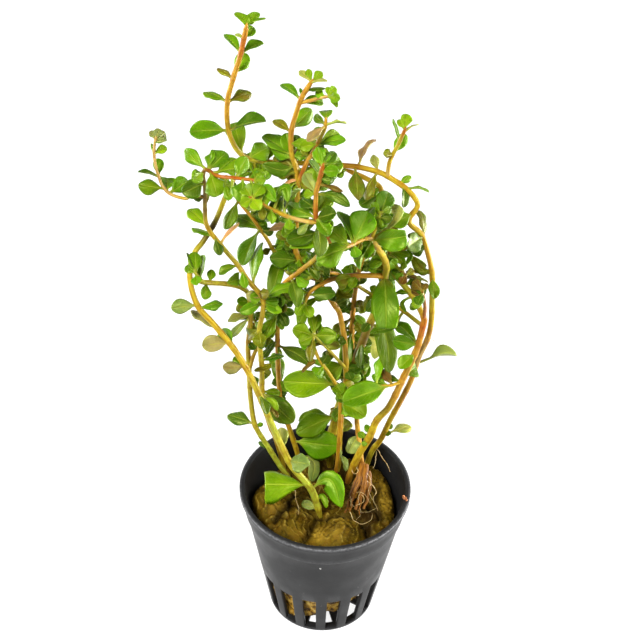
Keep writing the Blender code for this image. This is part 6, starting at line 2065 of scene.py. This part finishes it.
class RotalaStageSizes(bpy.types.PropertyGroup):
    """The studio's light."""
    room_light: FloatProperty(name="Room light", description="Strength of the light from all round",
                              default=0.44, min=0.0)
    front_light: FloatProperty(name="Front share", description="Share of the room's light from the front",
                               subtype="FACTOR", default=0.25, min=0.0, max=1.0)
    floor_glow: FloatProperty(name="Floor glow", description="How much light the floor gives",
                              default=0.86, min=0.0)
    edge_light: FloatProperty(name="Edge light", description="Power of the lamps at the sides",
                              subtype="POWER", unit="POWER", default=9.0, min=0.0)
    key_light: FloatProperty(name="Key light", description="Power of the large lamp",
                             subtype="POWER", unit="POWER", default=33.0, min=0.0)


class ROTALA_OT_pot(bpy.types.Operator):
    """Makes the net pot"""
    bl_idname = "rotala.pot"
    bl_label = "Net pot"

    def execute(self, context):
        make_pot()
        return {"FINISHED"}


class ROTALA_OT_wool(bpy.types.Operator):
    """Makes the plug of wet wool and its fibres"""
    bl_idname = "rotala.wool"
    bl_label = "Wet wool"

    def execute(self, context):
        make_wool()
        return {"FINISHED"}


class ROTALA_OT_plant(bpy.types.Operator):
    """Makes the stems and their leaves"""
    bl_idname = "rotala.plant"
    bl_label = "Stems and leaves"

    def execute(self, context):
        make_plant()
        return {"FINISHED"}


class ROTALA_OT_roots(bpy.types.Operator):
    """Makes the roots and the root crown"""
    bl_idname = "rotala.roots"
    bl_label = "Roots"

    def execute(self, context):
        make_roots()
        return {"FINISHED"}


class ROTALA_OT_crumbs(bpy.types.Operator):
    """Makes the crumb on the rim and the dust"""
    bl_idname = "rotala.crumbs"
    bl_label = "Crumbs and dust"

    def execute(self, context):
        make_crumbs()
        return {"FINISHED"}


class ROTALA_OT_stage(bpy.types.Operator):
    """Makes the floor, the lights and the camera"""
    bl_idname = "rotala.stage"
    bl_label = "Stage"

    def execute(self, context):
        make_stage()
        return {"FINISHED"}


class ROTALA_PT_panel(bpy.types.Panel):
    """Lists the sizes, and the operators that make the pieces"""
    bl_idname = "ROTALA_PT_panel"
    bl_label = "Potted dwarf rotala"
    bl_space_type = "VIEW_3D"
    bl_region_type = "UI"
    bl_category = "Rotala"

    def draw(self, context):
        for name, group in SIZES.items():
            box = self.layout.box()
            for field in group.__annotations__:
                box.prop(getattr(context.scene, name), field)
        for operator in OPERATORS:
            self.layout.operator(operator.bl_idname)


SIZES = {"rotala_pot": RotalaPotSizes, "rotala_wool": RotalaWoolSizes, "rotala_plant": RotalaPlantSizes,
         "rotala_stage": RotalaStageSizes}
OPERATORS = (ROTALA_OT_pot, ROTALA_OT_wool, ROTALA_OT_plant, ROTALA_OT_roots, ROTALA_OT_crumbs,
             ROTALA_OT_stage)


def register():
    for group in SIZES.values():
        bpy.utils.register_class(group)
    for made in (*OPERATORS, ROTALA_PT_panel):
        bpy.utils.register_class(made)
    for name, group in SIZES.items():
        setattr(bpy.types.Scene, name, PointerProperty(type=group))


def unregister():
    for name in SIZES:
        delattr(bpy.types.Scene, name)
    for made in (ROTALA_PT_panel, *reversed(OPERATORS), *SIZES.values()):
        bpy.utils.unregister_class(made)


def main():
    register()
    bpy.ops.rotala.pot()
    bpy.ops.rotala.wool()
    bpy.ops.rotala.plant()
    bpy.ops.rotala.roots()
    bpy.ops.rotala.crumbs()
    bpy.ops.rotala.stage()


if __name__ == "__main__":
    main()
